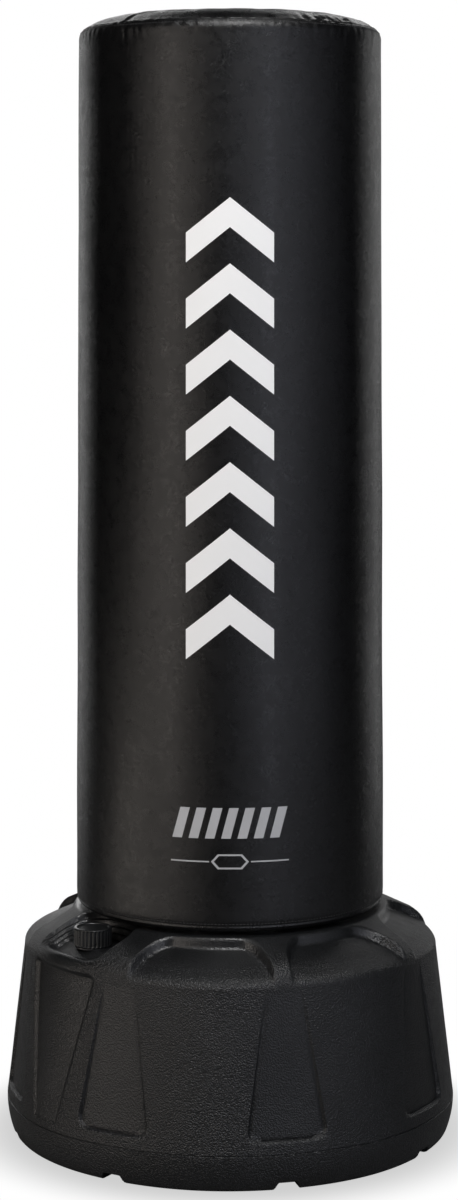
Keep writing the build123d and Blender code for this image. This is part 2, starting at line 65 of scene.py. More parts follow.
FULL_TURN = 2.0 * math.pi
WHOLE = (0.0, 1.0)
WHITE = (1.0, 1.0, 1.0, 1.0)
# Width of one band of the wave texture at a scale of 1.
WAVE_WIDTH = FULL_TURN / 20.0
UPWARDS = Vector((0.0, 0.0, 1.0))
Socket = bpy.types.NodeSocket
Form = bmesh.types.BMesh
Piece = bpy.types.Object
log = logging.getLogger("punching_bag")


# ------------------------------------------------------------------ small maths
def ease(value: float) -> float:
    """Smooth step: 0 below 0, 1 above 1, level at both ends."""
    share = min(1.0, max(0.0, value))
    return share * share * (3.0 - 2.0 * share)


def mix(low: float, high: float, share: float) -> float:
    """Straight blend from low to high, held at both ends."""
    return low + (high - low) * min(1.0, max(0.0, share))


def rounded_inset(first: float, second: float, radius: float) -> float:
    """Distance inside a corner of two edges, rounded to a radius.

    Args:
        first: distance inside the first edge.
        second: distance inside the second edge.
        radius: corner radius.

    Returns:
        Distance inside the rounded outline, negative outside it.
    """
    if first < radius and second < radius:
        return radius - math.hypot(radius - first, radius - second)
    return min(first, second)


def azimuth_of(point: Vector) -> float:
    """Azimuth of a point about the Z axis."""
    return math.atan2(point.x, -point.y)


def from_azimuth(azimuth: float, radius: float, height: float) -> Vector:
    """Point at an azimuth, a distance from the Z axis and a height."""
    return Vector((radius * math.sin(azimuth), -radius * math.cos(azimuth), height))


def wrapped(angle: float) -> float:
    """Angle brought to between minus and plus half a turn."""
    return (angle + math.pi) % FULL_TURN - math.pi


# ------------------------------------------------------------------ outlines and meshes
@dataclass
class Outline:
    """Half section of a turned piece, as (radius, height) points in order along it."""

    points: list[tuple[float, float]] = field(default_factory=list)

    def start(self, radius: float, height: float) -> "Outline":
        """Begins the outline."""
        self.points = [(radius, height)]
        return self

    def line(self, radius: float, height: float, spacing: float = 1e9) -> "Outline":
        """Straight run to a point, divided so that no part is longer than spacing.

        Args:
            radius: radius of the end point.
            height: height of the end point.
            spacing: greatest length of a part.

        Returns:
            The outline itself.
        """
        from_r, from_z = self.points[-1]
        parts = max(1, math.ceil(math.hypot(radius - from_r, height - from_z) / spacing))
        for index in range(1, parts + 1):
            share = index / parts
            self.points.append((mix(from_r, radius, share), mix(from_z, height, share)))
        return self

    def arc(self, via: tuple[float, float], end: tuple[float, float], spacing: float) -> "Outline":
        """Circular run through one point to another.

        Args:
            via: a point on the arc between its ends.
            end: the arc's last point.
            spacing: greatest distance between neighbouring points.

        Returns:
            The outline itself.
        """
        (ax, ay), (bx, by), (cx, cy) = self.points[-1], via, end
        twice_area = 2.0 * (ax * (by - cy) + bx * (cy - ay) + cx * (ay - by))
        aa, bb, cc = ax * ax + ay * ay, bx * bx + by * by, cx * cx + cy * cy
        mid_x = (aa * (by - cy) + bb * (cy - ay) + cc * (ay - by)) / twice_area
        mid_y = (aa * (cx - bx) + bb * (ax - cx) + cc * (bx - ax)) / twice_area
        radius = math.hypot(ax - mid_x, ay - mid_y)
        first = math.atan2(ay - mid_y, ax - mid_x)
        turn = wrapped(math.atan2(cy - mid_y, cx - mid_x) - first)
        parts = max(2, math.ceil(abs(turn) * radius / spacing))
        for index in range(1, parts + 1):
            angle = first + turn * index / parts
            self.points.append((mid_x + radius * math.cos(angle), mid_y + radius * math.sin(angle)))
        return self

    def spun(self, columns: int, first_azimuth: float = 0.0, doublings: int = 3) -> Form:
        """Turns the outline about Z into a mesh in millimetres.

        Args:
            columns: faces round the turn, a multiple of two to the power of doublings.
            first_azimuth: azimuth of the first column of vertices.
            doublings: how often the first sector is copied beside itself.

        Returns:
            The mesh, with its poles merged and its faces outwards.
        """
        form = bmesh.new()
        wire = [form.verts.new(from_azimuth(first_azimuth, r, z)) for r, z in self.points]
        edges = [form.edges.new(pair) for pair in zip(wire, wire[1:])]
        sector, steps = FULL_TURN / 2**doublings, columns // 2**doublings
        bmesh.ops.spin(form, geom=wire + edges, axis=(0, 0, 1), angle=sector, steps=steps)
        for index in range(doublings):
            geometry = form.verts[:] + form.edges[:] + form.faces[:]
            copied = bmesh.ops.duplicate(form, geom=geometry)["geom"]
            turn = Matrix.Rotation(sector * 2**index, 3, "Z")
            corners = [item for item in copied if isinstance(item, bmesh.types.BMVert)]
            bmesh.ops.rotate(form, matrix=turn, verts=corners)
        bmesh.ops.remove_doubles(form, verts=form.verts, dist=1e-3)
        bmesh.ops.recalc_face_normals(form, faces=form.faces)
        form.normal_update()
        return form


def finish_mesh(form: Form, name: str, smooth_angle: float = math.radians(50.0)) -> Piece:
    """Scales a mesh in millimetres to metres and makes it a smooth-shaded object.

    Args:
        form: the mesh, which is freed.
        name: name of the new piece.
        smooth_angle: edges sharper than this stay sharp.

    Returns:
        The new object, at the origin.
    """
    bmesh.ops.scale(form, vec=(MM, MM, MM), verts=form.verts)
    for face in form.faces:
        face.smooth = True
    for edge in form.edges:
        if len(edge.link_faces) == 2 and edge.calc_face_angle(0.0) > smooth_angle:
            edge.smooth = False
    mesh = bpy.data.meshes.new(name)
    form.to_mesh(mesh)
    form.free()
    piece = bpy.data.objects.new(name, mesh)
    bpy.context.scene.collection.objects.link(piece)
    return piece


def place_piece(piece: Piece, body: str, slot: str, finish: "Finish", *nodes: str) -> None:
    """Dresses a piece and ties it to the frame.

    Args:
        piece: the new piece.
        body: CAD body that it rides on.
        slot: the record's material slot; not used.
        finish: finish of the whole piece.
        nodes: CAD nodes that it stands for.
    """
    piece.data.materials.append(finish.material())
    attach(piece, body)
    if nodes:
        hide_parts(*nodes)
    log.info("%s: %d faces, on %s", piece.name, len(piece.data.polygons), body)


# ------------------------------------------------------------------ finishes
def linear(code: str) -> tuple[float, float, float, float]:
    """Linear colour of an sRGB hex code such as "#1A1B1C"."""
    channels = [int(code[index : index + 2], 16) / 255.0 for index in (1, 3, 5)]
    return (*[c / 12.92 if c <= 0.04045 else ((c + 0.055) / 1.055) ** 2.4 for c in channels], 1.0)


def per_metre(size_mm: float) -> float:
    """Texture scale that makes one cell of a pattern size_mm wide."""
    return 1.0 / (size_mm * MM)


def add_node(
    tree: bpy.types.NodeTree, kind: str, settings: dict | None = None, links: dict | None = None
) -> bpy.types.Node:
    """Adds a node to a tree.

    Args:
        tree: the node tree.
        kind: type name of the node.
        settings: values by input name or index, or by property name.
        links: source sockets by input name or index.

    Returns:
        The node.
    """
    node = tree.nodes.new(kind)
    for key, value in (settings or {}).items():
        if isinstance(key, str) and hasattr(node, key):
            setattr(node, key, value)
        else:
            node.inputs[key].default_value = value
    for key, source in (links or {}).items():
        tree.links.new(source, node.inputs[key])
    return node


@dataclass(frozen=True)
class Paint:
    """Nodes of one material being made: its tree, its shader and its coordinates in metres."""

    tree: bpy.types.NodeTree
    shader: bpy.types.Node
    coords: Socket

    def lay(self, socket: str, source: Socket) -> None:
        """Links a source to one of the shader's sockets."""
        self.tree.links.new(source, self.shader.inputs[socket])

    def fix(self, socket: str, value: object) -> None:
        """Sets one of the shader's sockets to a value that is the same all over."""
        self.shader.inputs[socket].default_value = value

    def pattern(self, kind: str, output: str, coords: Socket | None = None, **settings: object) -> Socket:
        """Adds a texture along the material's own or other coordinates, and gives one of its outputs."""
        links = {"Vector": self.coords if coords is None else coords}
        return add_node(self.tree, "ShaderNodeTex" + kind, settings, links).outputs[output]

    def noise(self, size_mm: float, detail: float = 3.0, coords: Socket | None = None) -> Socket:
        """Noise of a grain size, from 0 to 1."""
        return self.pattern("Noise", "Fac", coords, Scale=per_metre(size_mm), Detail=detail, Roughness=0.55)

    def waves(self, size_mm: float, coords: Socket | None = None, **settings: object) -> Socket:
        """Straight bands or rings size_mm apart, from 0 to 1. Diagonal bands lie 1.15 times as far apart."""
        return self.pattern("Wave", "Fac", coords, Scale=per_metre(size_mm) * WAVE_WIDTH, **settings)

    def ranged(self, value: Socket, low: float, high: float, at: tuple[float, float] = (0.3, 0.7)) -> Socket:
        """Value stretched from the span at to the span low to high, and held there."""
        settings = {"From Min": at[0], "From Max": at[1], "To Min": low, "To Max": high}
        return add_node(self.tree, "ShaderNodeMapRange", settings, {"Value": value}).outputs["Result"]

    def combined(self, operation: str, *values: Socket | float) -> Socket:
        """Does arithmetic on sockets and numbers.

        Args:
            operation: name of the operation.
            values: its operands in order.

        Returns:
            The result.
        """
        settings, links = {"operation": operation}, {}
        for index, value in enumerate(values):
            kept = links if isinstance(value, Socket) else settings
            kept[index] = value
        return add_node(self.tree, "ShaderNodeMath", settings, links).outputs[0]

    def tint(self, share: Socket, dark: str, light: str) -> None:
        """Lays on a colour between two codes by a share."""
        settings = {"data_type": "RGBA", 6: linear(dark), 7: linear(light)}
        self.lay("Base Color", add_node(self.tree, "ShaderNodeMix", settings, {0: share}).outputs[2])

    def emboss(self, height: Socket, depth_mm: float) -> None:
        """Lays on a relief that is depth_mm deep from its lowest to its highest point."""
        settings = {"Distance": depth_mm * MM, "Strength": 1.0}
        self.lay("Normal", add_node(self.tree, "ShaderNodeBump", settings, {"Height": height}).outputs[0])


class Axes(Enum):
    """What a pattern's coordinates follow."""

    OBJECT = "Object"
    SURFACE = "UV"


@dataclass(frozen=True)
class Finish:
    """Even finish with faint mottling, and the base of the others."""

    name: str
    colour: str
    roughness: float
    metallic: float = 0.0
    ior: float = 1.5
    mottle_mm: float = 60.0
    mottle: float = 0.06
    axes: Axes = Axes.OBJECT

    def material(self) -> bpy.types.Material:
        """Makes the material the first time it is asked for.

        Returns:
            The material of this finish.
        """
        made = bpy.data.materials.get(self.name)
        if made is None:
            made = bpy.data.materials.new(self.name)
            made.use_nodes = True
            tree = made.node_tree
            coords = add_node(tree, "ShaderNodeTexCoord").outputs[self.axes.value]
            paint = Paint(tree, tree.nodes["Principled BSDF"], coords)
            paint.fix("Metallic", self.metallic)
            if self.metallic < 0.5:
                paint.fix("IOR", self.ior)
            self.dress(paint)
        return made

    def mottled(self, paint: Paint) -> None:
        """Lays on the finish's colour, a little lighter and darker in patches.

        Args:
            paint: nodes of the material.
        """
        links = {"Value": paint.ranged(paint.noise(self.mottle_mm), 1.0 - self.mottle, 1.0 + self.mottle)}
        settings = {"Color": linear(self.colour)}
        paint.lay("Base Color", add_node(paint.tree, "ShaderNodeHueSaturation", settings, links).outputs[0])

    def uneven(self, paint: Paint, size_mm: float, swing: float, detail: float = 3.0) -> Socket:
        """The finish's roughness, up to swing lower and higher in patches."""
        return paint.ranged(paint.noise(size_mm, detail), self.roughness - swing, self.roughness + swing)

    def dress(self, paint: Paint) -> None:
        """Lays on colour, roughness and relief.

        Args:
            paint: nodes of the material.
        """
        self.mottled(paint)
        paint.lay("Roughness", self.uneven(paint, 9.0, self.roughness * 0.1))
        paint.emboss(paint.noise(1.5), 0.05)


@dataclass(frozen=True)
class PebbledPlastic(Finish):
    """Polyethylene moulded against an etched tool: shallow round pebbles with a satin skin, and a painted
    highlight on the pebbles' tops.

    The mesh attribute "grain" is 1 where the tool is etched and 0 where it is polished.
    """

    pebble_mm: float = 2.4
    pebble_depth_mm: float = 0.75
    fine_mm: float = 1.6
    fine_share: float = 0.6
    warp_mm: float = 5.0
    warp_share: float = 0.0008
    polished_relief: float = 0.16
    polished_roughness: float = 0.32
    # Painted highlight: a lighter colour laid on the pebbles' tops, and its greatest share.
    painted_pebble_highlight: str = "#46474A"
    painted_highlight_share: float = 0.34

    def dress(self, paint: Paint) -> None:
        """Pebbles from rounded cells over finer noise, fading to plain where the grain is 0, with a painted
        highlight that lightens the pebbles' tops in patches.

        Args:
            paint: nodes of the material.
        """
        grain = add_node(paint.tree, "ShaderNodeAttribute", {"attribute_name": "grain"}).outputs["Fac"]
        sources = {1: paint.coords, 2: paint.pattern("Noise", "Color", Scale=per_metre(self.warp_mm))}
        bent = add_node(paint.tree, "ShaderNodeMixRGB", {"Fac": self.warp_share}, sources).outputs[0]
        shape = {"feature": "SMOOTH_F1", "Scale": per_metre(self.pebble_mm), "Smoothness": 0.35}
        cells = paint.pattern("Voronoi", "Distance", bent, **shape)
        pebbles = paint.ranged(cells, 1.0, 0.0, (0.12, 0.75))
        relief = paint.combined("MULTIPLY_ADD", paint.noise(self.fine_mm, 4.0), self.fine_share, pebbles)
        depth = paint.ranged(grain, self.polished_relief, 1.0, WHOLE)
        paint.emboss(paint.combined("MULTIPLY", relief, depth), self.pebble_depth_mm)
        # Painted highlight: each pebble's top is lightened towards the highlight colour, more in some
        # patches.
        lit_pebble_tops = paint.combined("MULTIPLY", pebbles, paint.noise(self.mottle_mm, 5.0))
        paint.tint(paint.ranged(lit_pebble_tops, 0.0, self.painted_highlight_share, (0.15, 0.75)), self.colour, self.painted_pebble_highlight)
        skin = paint.ranged(grain, self.polished_roughness, self.roughness, WHOLE)
        paint.lay("Roughness", paint.combined("ADD", skin, paint.ranged(paint.noise(14.0), -0.05, 0.05)))


@dataclass(frozen=True)
class GrainedVinyl(Finish):
    """Vinyl calendered on cloth: fine leather grain over the backing's faint ripples."""

    grain_mm: float = 1.9
    ripple_mm: float = 10.264
    ripple_share: float = 0.55
    crease_mm: float = 55.0
    crease_share: float = 1.1
    depth_mm: float = 0.11
    scuff: str = "#121212"
    scuff_share: float = 0.4

    def dress(self, paint: Paint) -> None:
        """Grain, ripples and creases as relief, rubbed patches as colour and roughness.

        Args:
            paint: nodes of the material.
        """
        shape = {"feature": "DISTANCE_TO_EDGE", "Scale": per_metre(self.grain_mm), "Randomness": 0.9}
        grain = paint.ranged(paint.pattern("Voronoi", "Distance", **shape), 0.0, 1.0, (0.0, 0.22))
        ways = [{"bands_direction": way, "Distortion": 1.2, "Detail": 1.0} for way in ("X", "Y")]
        ripples = paint.combined("MULTIPLY", *[paint.waves(self.ripple_mm, **way) for way in ways])
        relief = paint.combined("MULTIPLY_ADD", ripples, self.ripple_share, grain)
        creases = paint.noise(self.crease_mm, 6.0)
        paint.emboss(paint.combined("MULTIPLY_ADD", creases, self.crease_share, relief), self.depth_mm)
        rubbed = paint.ranged(paint.noise(self.mottle_mm, 6.0), 0.0, self.scuff_share, (0.42, 0.75))
        paint.tint(rubbed, self.colour, self.scuff)
        uneven = self.uneven(paint, 24.0, 0.05, 4.0)
        paint.lay("Roughness", paint.combined("MULTIPLY_ADD", grain, -0.06, uneven))


@dataclass(frozen=True)
class PrintedInk(Finish):
    """Screen-printed vinyl ink: an even matte film that lets a little of the grain through."""

    def dress(self, paint: Paint) -> None:
        """Uneven gloss in the film and the vinyl's grain under it.

        Args:
            paint: nodes of the material.
        """
        self.mottled(paint)
        paint.lay("Roughness", self.uneven(paint, 3.0, 0.06))
        paint.emboss(paint.noise(2.0, 5.0), 0.06)


@dataclass(frozen=True)
class SpunThread(Finish):
    """Bonded polyester sewing thread: twisted filaments with a soft sheen."""

    twist_mm: float = 4.737

    def dress(self, paint: Paint) -> None:
        """Slanting bands for the twist.

        Args:
            paint: nodes of the material.
        """
        twist = paint.waves(self.twist_mm, bands_direction="DIAGONAL")
        self.mottled(paint)
        paint.lay("Roughness", paint.ranged(twist, self.roughness, self.roughness + 0.15, WHOLE))
        paint.emboss(twist, 0.12)


@dataclass(frozen=True)
class CutFoam(Finish):
    """Polyurethane foam sawn from a block: open cells and a chalky surface."""

    cell_mm: float = 2.2
    # Painted shade: the colour laid in the sunken pores.
    painted_pore_shade: str = "#4A473E"

    def dress(self, paint: Paint) -> None:
        """Painted shade in the sunken pores between lighter cell walls.

        Args:
            paint: nodes of the material.
        """
        cells = paint.pattern("Voronoi", "Distance", feature="F1", Scale=per_metre(self.cell_mm))
        walls = paint.ranged(cells, 0.0, 1.0, (0.1, 0.6))
        # Painted shade: the pores are darkened where the relief sinks.
        paint.tint(walls, self.painted_pore_shade, self.colour)
        paint.fix("Roughness", self.roughness)
        paint.emboss(walls, 0.6)


@dataclass(frozen=True)
class SandedPlywood(Finish):
    """Birch plywood, rotary cut and sanded: long soft figure with darker latewood lines."""

    line_mm: float = 17.765
    latewood: str = "#8E6A40"

    def dress(self, paint: Paint) -> None:
        """Stretched bands for the figure and fine fibres along them.

        Args:
            paint: nodes of the material.
        """
        links = {"Vector": paint.coords}
        along = add_node(paint.tree, "ShaderNodeMapping", {"Scale": (0.12, 1.0, 1.0)}, links).outputs[0]
        figure = paint.waves(self.line_mm, along, bands_direction="Y", Distortion=6.0, Detail=3.0)
        paint.tint(figure, self.latewood, self.colour)
        paint.fix("Roughness", self.roughness)
        paint.emboss(paint.noise(1.2, 6.0, along), 0.15)


@dataclass(frozen=True)
class WorkedMetal(Finish):
    """Metal part, plated or turned: fine concentric tool marks under the skin."""

    mark_mm: float = 1.579

    def dress(self, paint: Paint) -> None:
        """Level colour, with marks that break up the gloss.

        Args:
            paint: nodes of the material.
        """
        marks = paint.waves(self.mark_mm, wave_type="RINGS", Distortion=2.0)
        self.mottled(paint)
        paint.lay("Roughness", paint.ranged(marks, self.roughness, self.roughness + 0.12, WHOLE))
        paint.emboss(marks, 0.02)


@dataclass(frozen=True)
class ClearWater(Finish):
    """Tap water, clear with a faint blue cast."""

    def dress(self, paint: Paint) -> None:
        """Transmission, with slow ripples on its face.

        Args:
            paint: nodes of the material.
        """
        paint.fix("Base Color", linear(self.colour))
        paint.fix("Roughness", self.roughness)
        paint.fix("Transmission Weight", 0.9)
        paint.emboss(paint.noise(80.0), 1.5)


# Black vinyl coated cloth, calendered and embossed: satin, with wide soft highlights.
COVER_VINYL = GrainedVinyl("grained_vinyl_black", "#070708", 0.33, mottle_mm=120.0, axes=Axes.SURFACE)
# Rotationally moulded polyethylene: pebbled all over, each pebble with a small satin glint and a painted
# highlight on its top.
TANK_PLASTIC = PebbledPlastic("pebbled_polyethylene_black", "#101112", 0.38, ior=1.52, mottle_mm=90.0)
# Injection-moulded polypropylene: finer spark-eroded grain and a tighter gloss.
CAP_PLASTIC = Finish("spark_eroded_polypropylene_black", "#1A1B1C", 0.3, ior=1.49, mottle_mm=12.0)
# Injection-moulded polyethylene with a plain tool finish, for the threaded parts.
POST_PLASTIC = Finish("moulded_polyethylene_dark", "#1B1C1E", 0.42, ior=1.52)
# Extruded polyethylene pipe: duller than a moulding.
TUBE_PLASTIC = Finish("extruded_polyethylene_grey", "#3A3B3D", 0.5, ior=1.52)
# Turned nylon, left in its natural cream.
WASHER_NYLON = Finish("turned_nylon_natural", "#D9D5C8", 0.35, ior=1.53)
# Compression-moulded nitrile rubber: matt black.
GASKET_RUBBER = Finish("moulded_nitrile_rubber", "#101010", 0.7, ior=1.52, mottle_mm=5.0)
# Screen-printed vinyl inks: opaque white, and grey with a little silver in it.
WHITE_INK = PrintedInk("screen_ink_white", "#FBFBFA", 0.5, mottle=0.01)
GREY_INK = PrintedInk("screen_ink_silver_grey", "#B9BABC", 0.42, mottle=0.04)
# Bonded polyester sewing thread, dyed black.
BLACK_THREAD = SpunThread("bonded_polyester_thread_black", "#3B3B3C", 0.45, mottle_mm=4.0)
# Polyurethane foams sawn from the block: rebonded crumb, and virgin foam.
FIRM_FOAM = CutFoam("rebond_foam_grey", "#6A6D74", 0.9)
SOFT_FOAM = CutFoam("polyurethane_foam_cream", "#D8CFAE", 0.9)
# Birch plywood, rotary cut and sanded, without varnish.
BOARD_PLY = SandedPlywood("birch_plywood_sanded", "#C9A271", 0.6)
# Cold-formed steel with bright zinc plating.
ZINC_STEEL = WorkedMetal("zinc_plated_steel", "#B4B7BC", 0.3, metallic=1.0)
# Brass turned from bar.
INSERT_BRASS = WorkedMetal("turned_brass", "#C7A15A", 0.28, metallic=1.0)
# Tap water.
BALLAST = ClearWater("tap_water", "#DCECF2", 0.05, ior=1.333)

NODE_FINISHES: dict[str, Finish] = {
    "ballast_water": BALLAST,
    "threaded_post": POST_PLASTIC,
    "post_screws": ZINC_STEEL,
    "post_inserts": INSERT_BRASS,
    "fill_neck": POST_PLASTIC,
    "cap_gasket": GASKET_RUBBER,
    "slip_washer": WASHER_NYLON,
    "threaded_collar": POST_PLASTIC,
    "collar_bolts": ZINC_STEEL,
    "tee_nuts": ZINC_STEEL,
    "bottom_board": BOARD_PLY,
    "core_tube": TUBE_PLASTIC,
    "core_plug": TUBE_PLASTIC,
    "foam_inner": FIRM_FOAM,
    "foam_outer": SOFT_FOAM,
    "foam_top": SOFT_FOAM,
    "hem_staples": ZINC_STEEL,
}


# ------------------------------------------------------------------ base
@dataclass
class MouldedTank:
    """Base tank: ribs, scooped bays, cap pocket, side panels, chute, parting line and foot grooves."""

    ribs: int = 8
    rib_azimuth: float = math.radians(14.3)
    rib_half: float = 12.0
    flank: float = 6.5
    radius: float = 346.4
    parting: float = 55.0
    shoulder_radius: float = 320.0
    shoulder: float = 283.0
    deck_radius: float = 292.0
    platform_radius: float = 238.0
    platform: float = 345.0
    socket_radius: float = 90.4
    socket_depth: float = 6.0
    bore_radius: float = 58.2
    bore_depth: float = 58.3
    panel_low: float = 72.0
    panel_halves: tuple[float, float] = (63.0, 28.0)
    panel_corner: float = 20.0
    panel_depth: float = 5.0
    panel_rim: float = 2.7
    rim_quirk: float = 1.1
    quirk_width: float = 1.9
    bay_wall: float = 241.0
    bay_depth: float = 12.5
    bay_corner: float = 36.4
    groove_half: float = 17.0
    groove_height: float = 13.0
    cap_axis: Vector = field(default_factory=Vector)
    pocket_floor: float = 311.0
    pocket_radius: float = 50.0
    pocket_low: float = 284.0
    pocket_inner: float = 170.0
    terrace_tread: float = 7.0
    terrace_climbs: tuple[float, ...] = (0.24, 0.24, 0.24, 0.28)
    chute_halves: tuple[float, float] = (30.0, 84.0)
    chute_depth: float = 6.5
    facet: float = 0.009
    columns_per_rib: int = 56

    @classmethod
    def from_frame(cls) -> "MouldedTank":
        """Tank with its radius, height and cap axis taken from the CAD nodes.

        Returns:
            The tank.
        """
        low, high = (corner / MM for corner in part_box("base_tank"))
        cap_low, cap_high = (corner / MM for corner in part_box("fill_cap"))
        axis = (cap_low + cap_high) / 2.0
        return cls(radius=(high.x - low.x) / 2.0, platform=high.z, cap_axis=Vector((axis.x, axis.y, 0.0)))

    @property
    def step(self) -> float:
        """Angle between two ribs."""
        return FULL_TURN / self.ribs

    def outline(self) -> Outline:
        """Section through the ribs, from the middle of the underside to the bottom of the hub's socket.

        Returns:
            The outline.
        """
        radius, parting = self.radius, self.parting
        plat_r, plat_z = self.platform_radius, self.platform
        socket, bore = self.socket_radius, self.bore_radius
        socket_z, bore_z = plat_z - self.socket_depth, plat_z - self.bore_depth
        run = Outline().start(0.0, 0.0).line(112.0, 0.0, 40.0).line(130.0, 0.0, 3.0).line(318.0, 0.0, 24.0)
        run.line(326.0, 0.0, 3.0).arc((333.0, 2.2), (337.6, 8.0), 2.0)
        run.arc((343.2, 26.0), (radius, parting - 1.4), 4.0)
        run.line(radius - 1.3, parting - 0.5).line(radius - 1.3, parting + 0.5)
        run.line(radius - 0.1, parting + 1.4)
        slope = (self.shoulder_radius - radius) / (self.shoulder - parting)
        stops = ((self.panel_low - 3.0, 4.0), (self.panel_low + 26.0, 2.0), (self.shoulder - 4.0, 12.0))
        for height, spacing in stops:
            run.line(radius + slope * (height - parting), height, spacing)
        run.line(self.shoulder_radius, self.shoulder, 2.5).arc((313.6, 305.0), (297.0, 320.0), 2.8)
        run.line(plat_r + 5.0, plat_z - 2.1, 2.8)
        run.arc((plat_r + 1.0, plat_z - 0.6), (plat_r - 4.0, plat_z), 2.0)
        run.line(180.0, plat_z, 5.0).line(92.0, plat_z, 30.0)
        run.arc((socket + 0.4, plat_z - 0.4), (socket, plat_z - 1.5), 0.8).line(socket, socket_z)
        return run.line(bore, socket_z).line(bore, bore_z).line(0.0, bore_z, 30.0)

    def half_width(self, radius: float, height: float) -> float:
        """Half width of the side panel, of the rib above it or of the foot groove below it.

        Args:
            radius: distance from the Z axis.
            height: height above the floor.

        Returns:
            The half width in millimetres.
        """
        low, high = self.panel_halves
        if radius < 300.0 and height < 20.0:
            return self.groove_half + 4.0
        if height < self.panel_low:
            return mix(self.groove_half + 4.0, low, ease((height - 18.0) / 44.0))
        if height <= self.shoulder:
            return mix(low, high, (height - self.panel_low) / (self.shoulder - self.panel_low))
        return mix(high, self.rib_half + self.flank, ease((height - self.shoulder) / 24.0))

    def warped(self, share: float, radius: float, height: float) -> float:
        """Angle from the rib's axis of a column, so that columns run along the panel's and rib's edges.

        Args:
            share: the column's place between the rib's axis, 0, and the bay's middle, 1.
            radius: distance from the Z axis.
            height: height above the floor.

        Returns:
            The angle, in radians.
        """
        half = self.half_width(radius, height)
        outer = min((half + 1.0) / max(radius, 1.0), self.step * 0.36)
        inner = outer * (half - 6.0) / (half + 1.0)
        stops = ((0.0, 0.0), (0.2, inner), (0.343, outer), (1.0, self.step / 2.0))
        for (from_share, from_angle), (to_share, to_angle) in zip(stops, stops[1:]):
            if share <= to_share:
                return mix(from_angle, to_angle, (share - from_share) / (to_share - from_share))
        return self.step / 2.0

    def panel_inset(self, across: float, height: float) -> float:
        """Distance inside the outline of a side panel.

        Args:
            across: distance sideways from the rib's axis.
            height: height above the floor.

        Returns:
            The distance in millimetres, negative outside.
        """
        low, high = self.panel_halves
        half = low + (high - low) * (height - self.panel_low) / (self.shoulder - self.panel_low)
        return rounded_inset((half - abs(across)) * 0.987, height - self.panel_low, self.panel_corner)

    def panel_recess(self, across: float, height: float) -> float:
        """Depth of a side panel, which fades out towards the shoulder.

        Args:
            across: distance sideways from the rib's axis.
            height: height above the floor.

        Returns:
            The depth in millimetres.
        """
        if not self.panel_low < height < self.shoulder:
            return 0.0
        fade = 1.0 - (height - self.panel_low) / (self.shoulder - self.panel_low)
        inset = self.panel_inset(across, height)
        quirk = self.rim_quirk * math.exp(-(((inset - self.panel_rim) / self.quirk_width) ** 2))
        return self.panel_depth * fade**0.8 * ease(inset / self.panel_rim) + quirk * ease(fade / 0.12)

    def bay_recess(self, across: float, radius: float, height: float) -> float:
        """Depth of a scooped bay between two ribs, from the inner wall to the side's shoulder.

        Args:
            across: distance sideways from the nearest rib's axis.
            radius: distance from the Z axis.
            height: height above the floor.

        Returns:
            The depth in millimetres.
        """
        if height < self.shoulder + 4.0:
            return 0.0
        inset = rounded_inset(abs(across) - self.rib_half, 0.55 * (radius - self.bay_wall), self.bay_corner)
        fade = 1.0 if radius < self.deck_radius else ease((height - self.shoulder - 4.0) / 33.0)
        return self.bay_depth * fade * ease(inset / self.flank)

    def pocket_reach(self, point: Vector) -> float:
        """Distance of a point from the well's middle line, which runs from the cap's axis outwards.

        Args:
            point: a point on the deck.

        Returns:
            The distance in millimetres.
        """
        away = point - self.cap_axis
        outward = Vector((self.cap_axis.x, self.cap_axis.y, 0.0)).normalized()
        along = away.x * outward.x + away.y * outward.y
        aside = away.x * outward.y - away.y * outward.x
        return abs(aside) if along > 0.0 else math.hypot(along, aside)

    def pocket_height(self, point: Vector) -> float:
        """Height of the terraced well's surface at a point of the deck.

        Args:
            point: point of the deck before the well is cut.

        Returns:
            The well's height there. Its floor and terraces follow the deck down over the shoulder.
        """
        reach = self.pocket_reach(point)
        inner = 1.0 - ease((math.hypot(point.x, point.y) - self.deck_radius) / 24.0)
        sunk = max(point.z - self.pocket_floor, 20.0) * inner
        climb = 0.0
        for index, share in enumerate(self.terrace_climbs):
            climb += share * ease((reach - self.pocket_radius - index * self.terrace_tread) / 3.0)
        return point.z - sunk * (1.0 - climb)

    def chute_recess(self, across: float, height: float) -> float:
        """Depth of the smooth tapering recess below the cap's pocket.

        Args:
            across: distance sideways from the chute's middle.
            height: height above the floor.

        Returns:
            The depth in millimetres.
        """
        low_z, high_z = self.parting + 5.0, 291.0
        if not low_z < height < high_z:
            return 0.0
        share = (height - low_z) / (high_z - low_z)
        inset = rounded_inset(mix(*self.chute_halves, share) - abs(across), high_z - height, 16.0)
        return mix(2.0, self.chute_depth, share) * ease(inset / 8.0) * ease((height - low_z) / 12.0)

    def groove_share(self, across: float, radius: float) -> float:
        """How far a point of the foot is inside a drain groove, from 0 to 1."""
        return ease((self.groove_half + 4.0 - abs(across)) / 8.0) * ease((radius - 116.0) / 12.0)

    def refine_pocket(self, form: Form) -> None:
        """Divides the faces round the cap's pocket and its chute, and those on the terraces once more.

        Args:
            form: mesh in millimetres, which is changed.
        """
        cap_azimuth = azimuth_of(self.cap_axis)
        terraces = (self.pocket_radius - 5.0, self.pocket_radius + 3.0 * self.terrace_tread + 6.0)
        for lowest, nearest, farthest in ((self.parting + 8.0, 0.0, 1e9), (self.shoulder + 8.0, *terraces)):
            edges = set()
            for face in form.faces:
                middle = face.calc_center_median()
                near = abs(wrapped(azimuth_of(middle) - cap_azimuth)) < self.step * 0.44
                if near and middle.z > lowest and middle.xy.length > self.pocket_inner + 6.0:
                    if nearest <= self.pocket_reach(middle) <= farthest:
                        edges.update(face.edges)
            bmesh.ops.subdivide_edges(form, edges=list(edges), cuts=1, use_grid_fill=True)

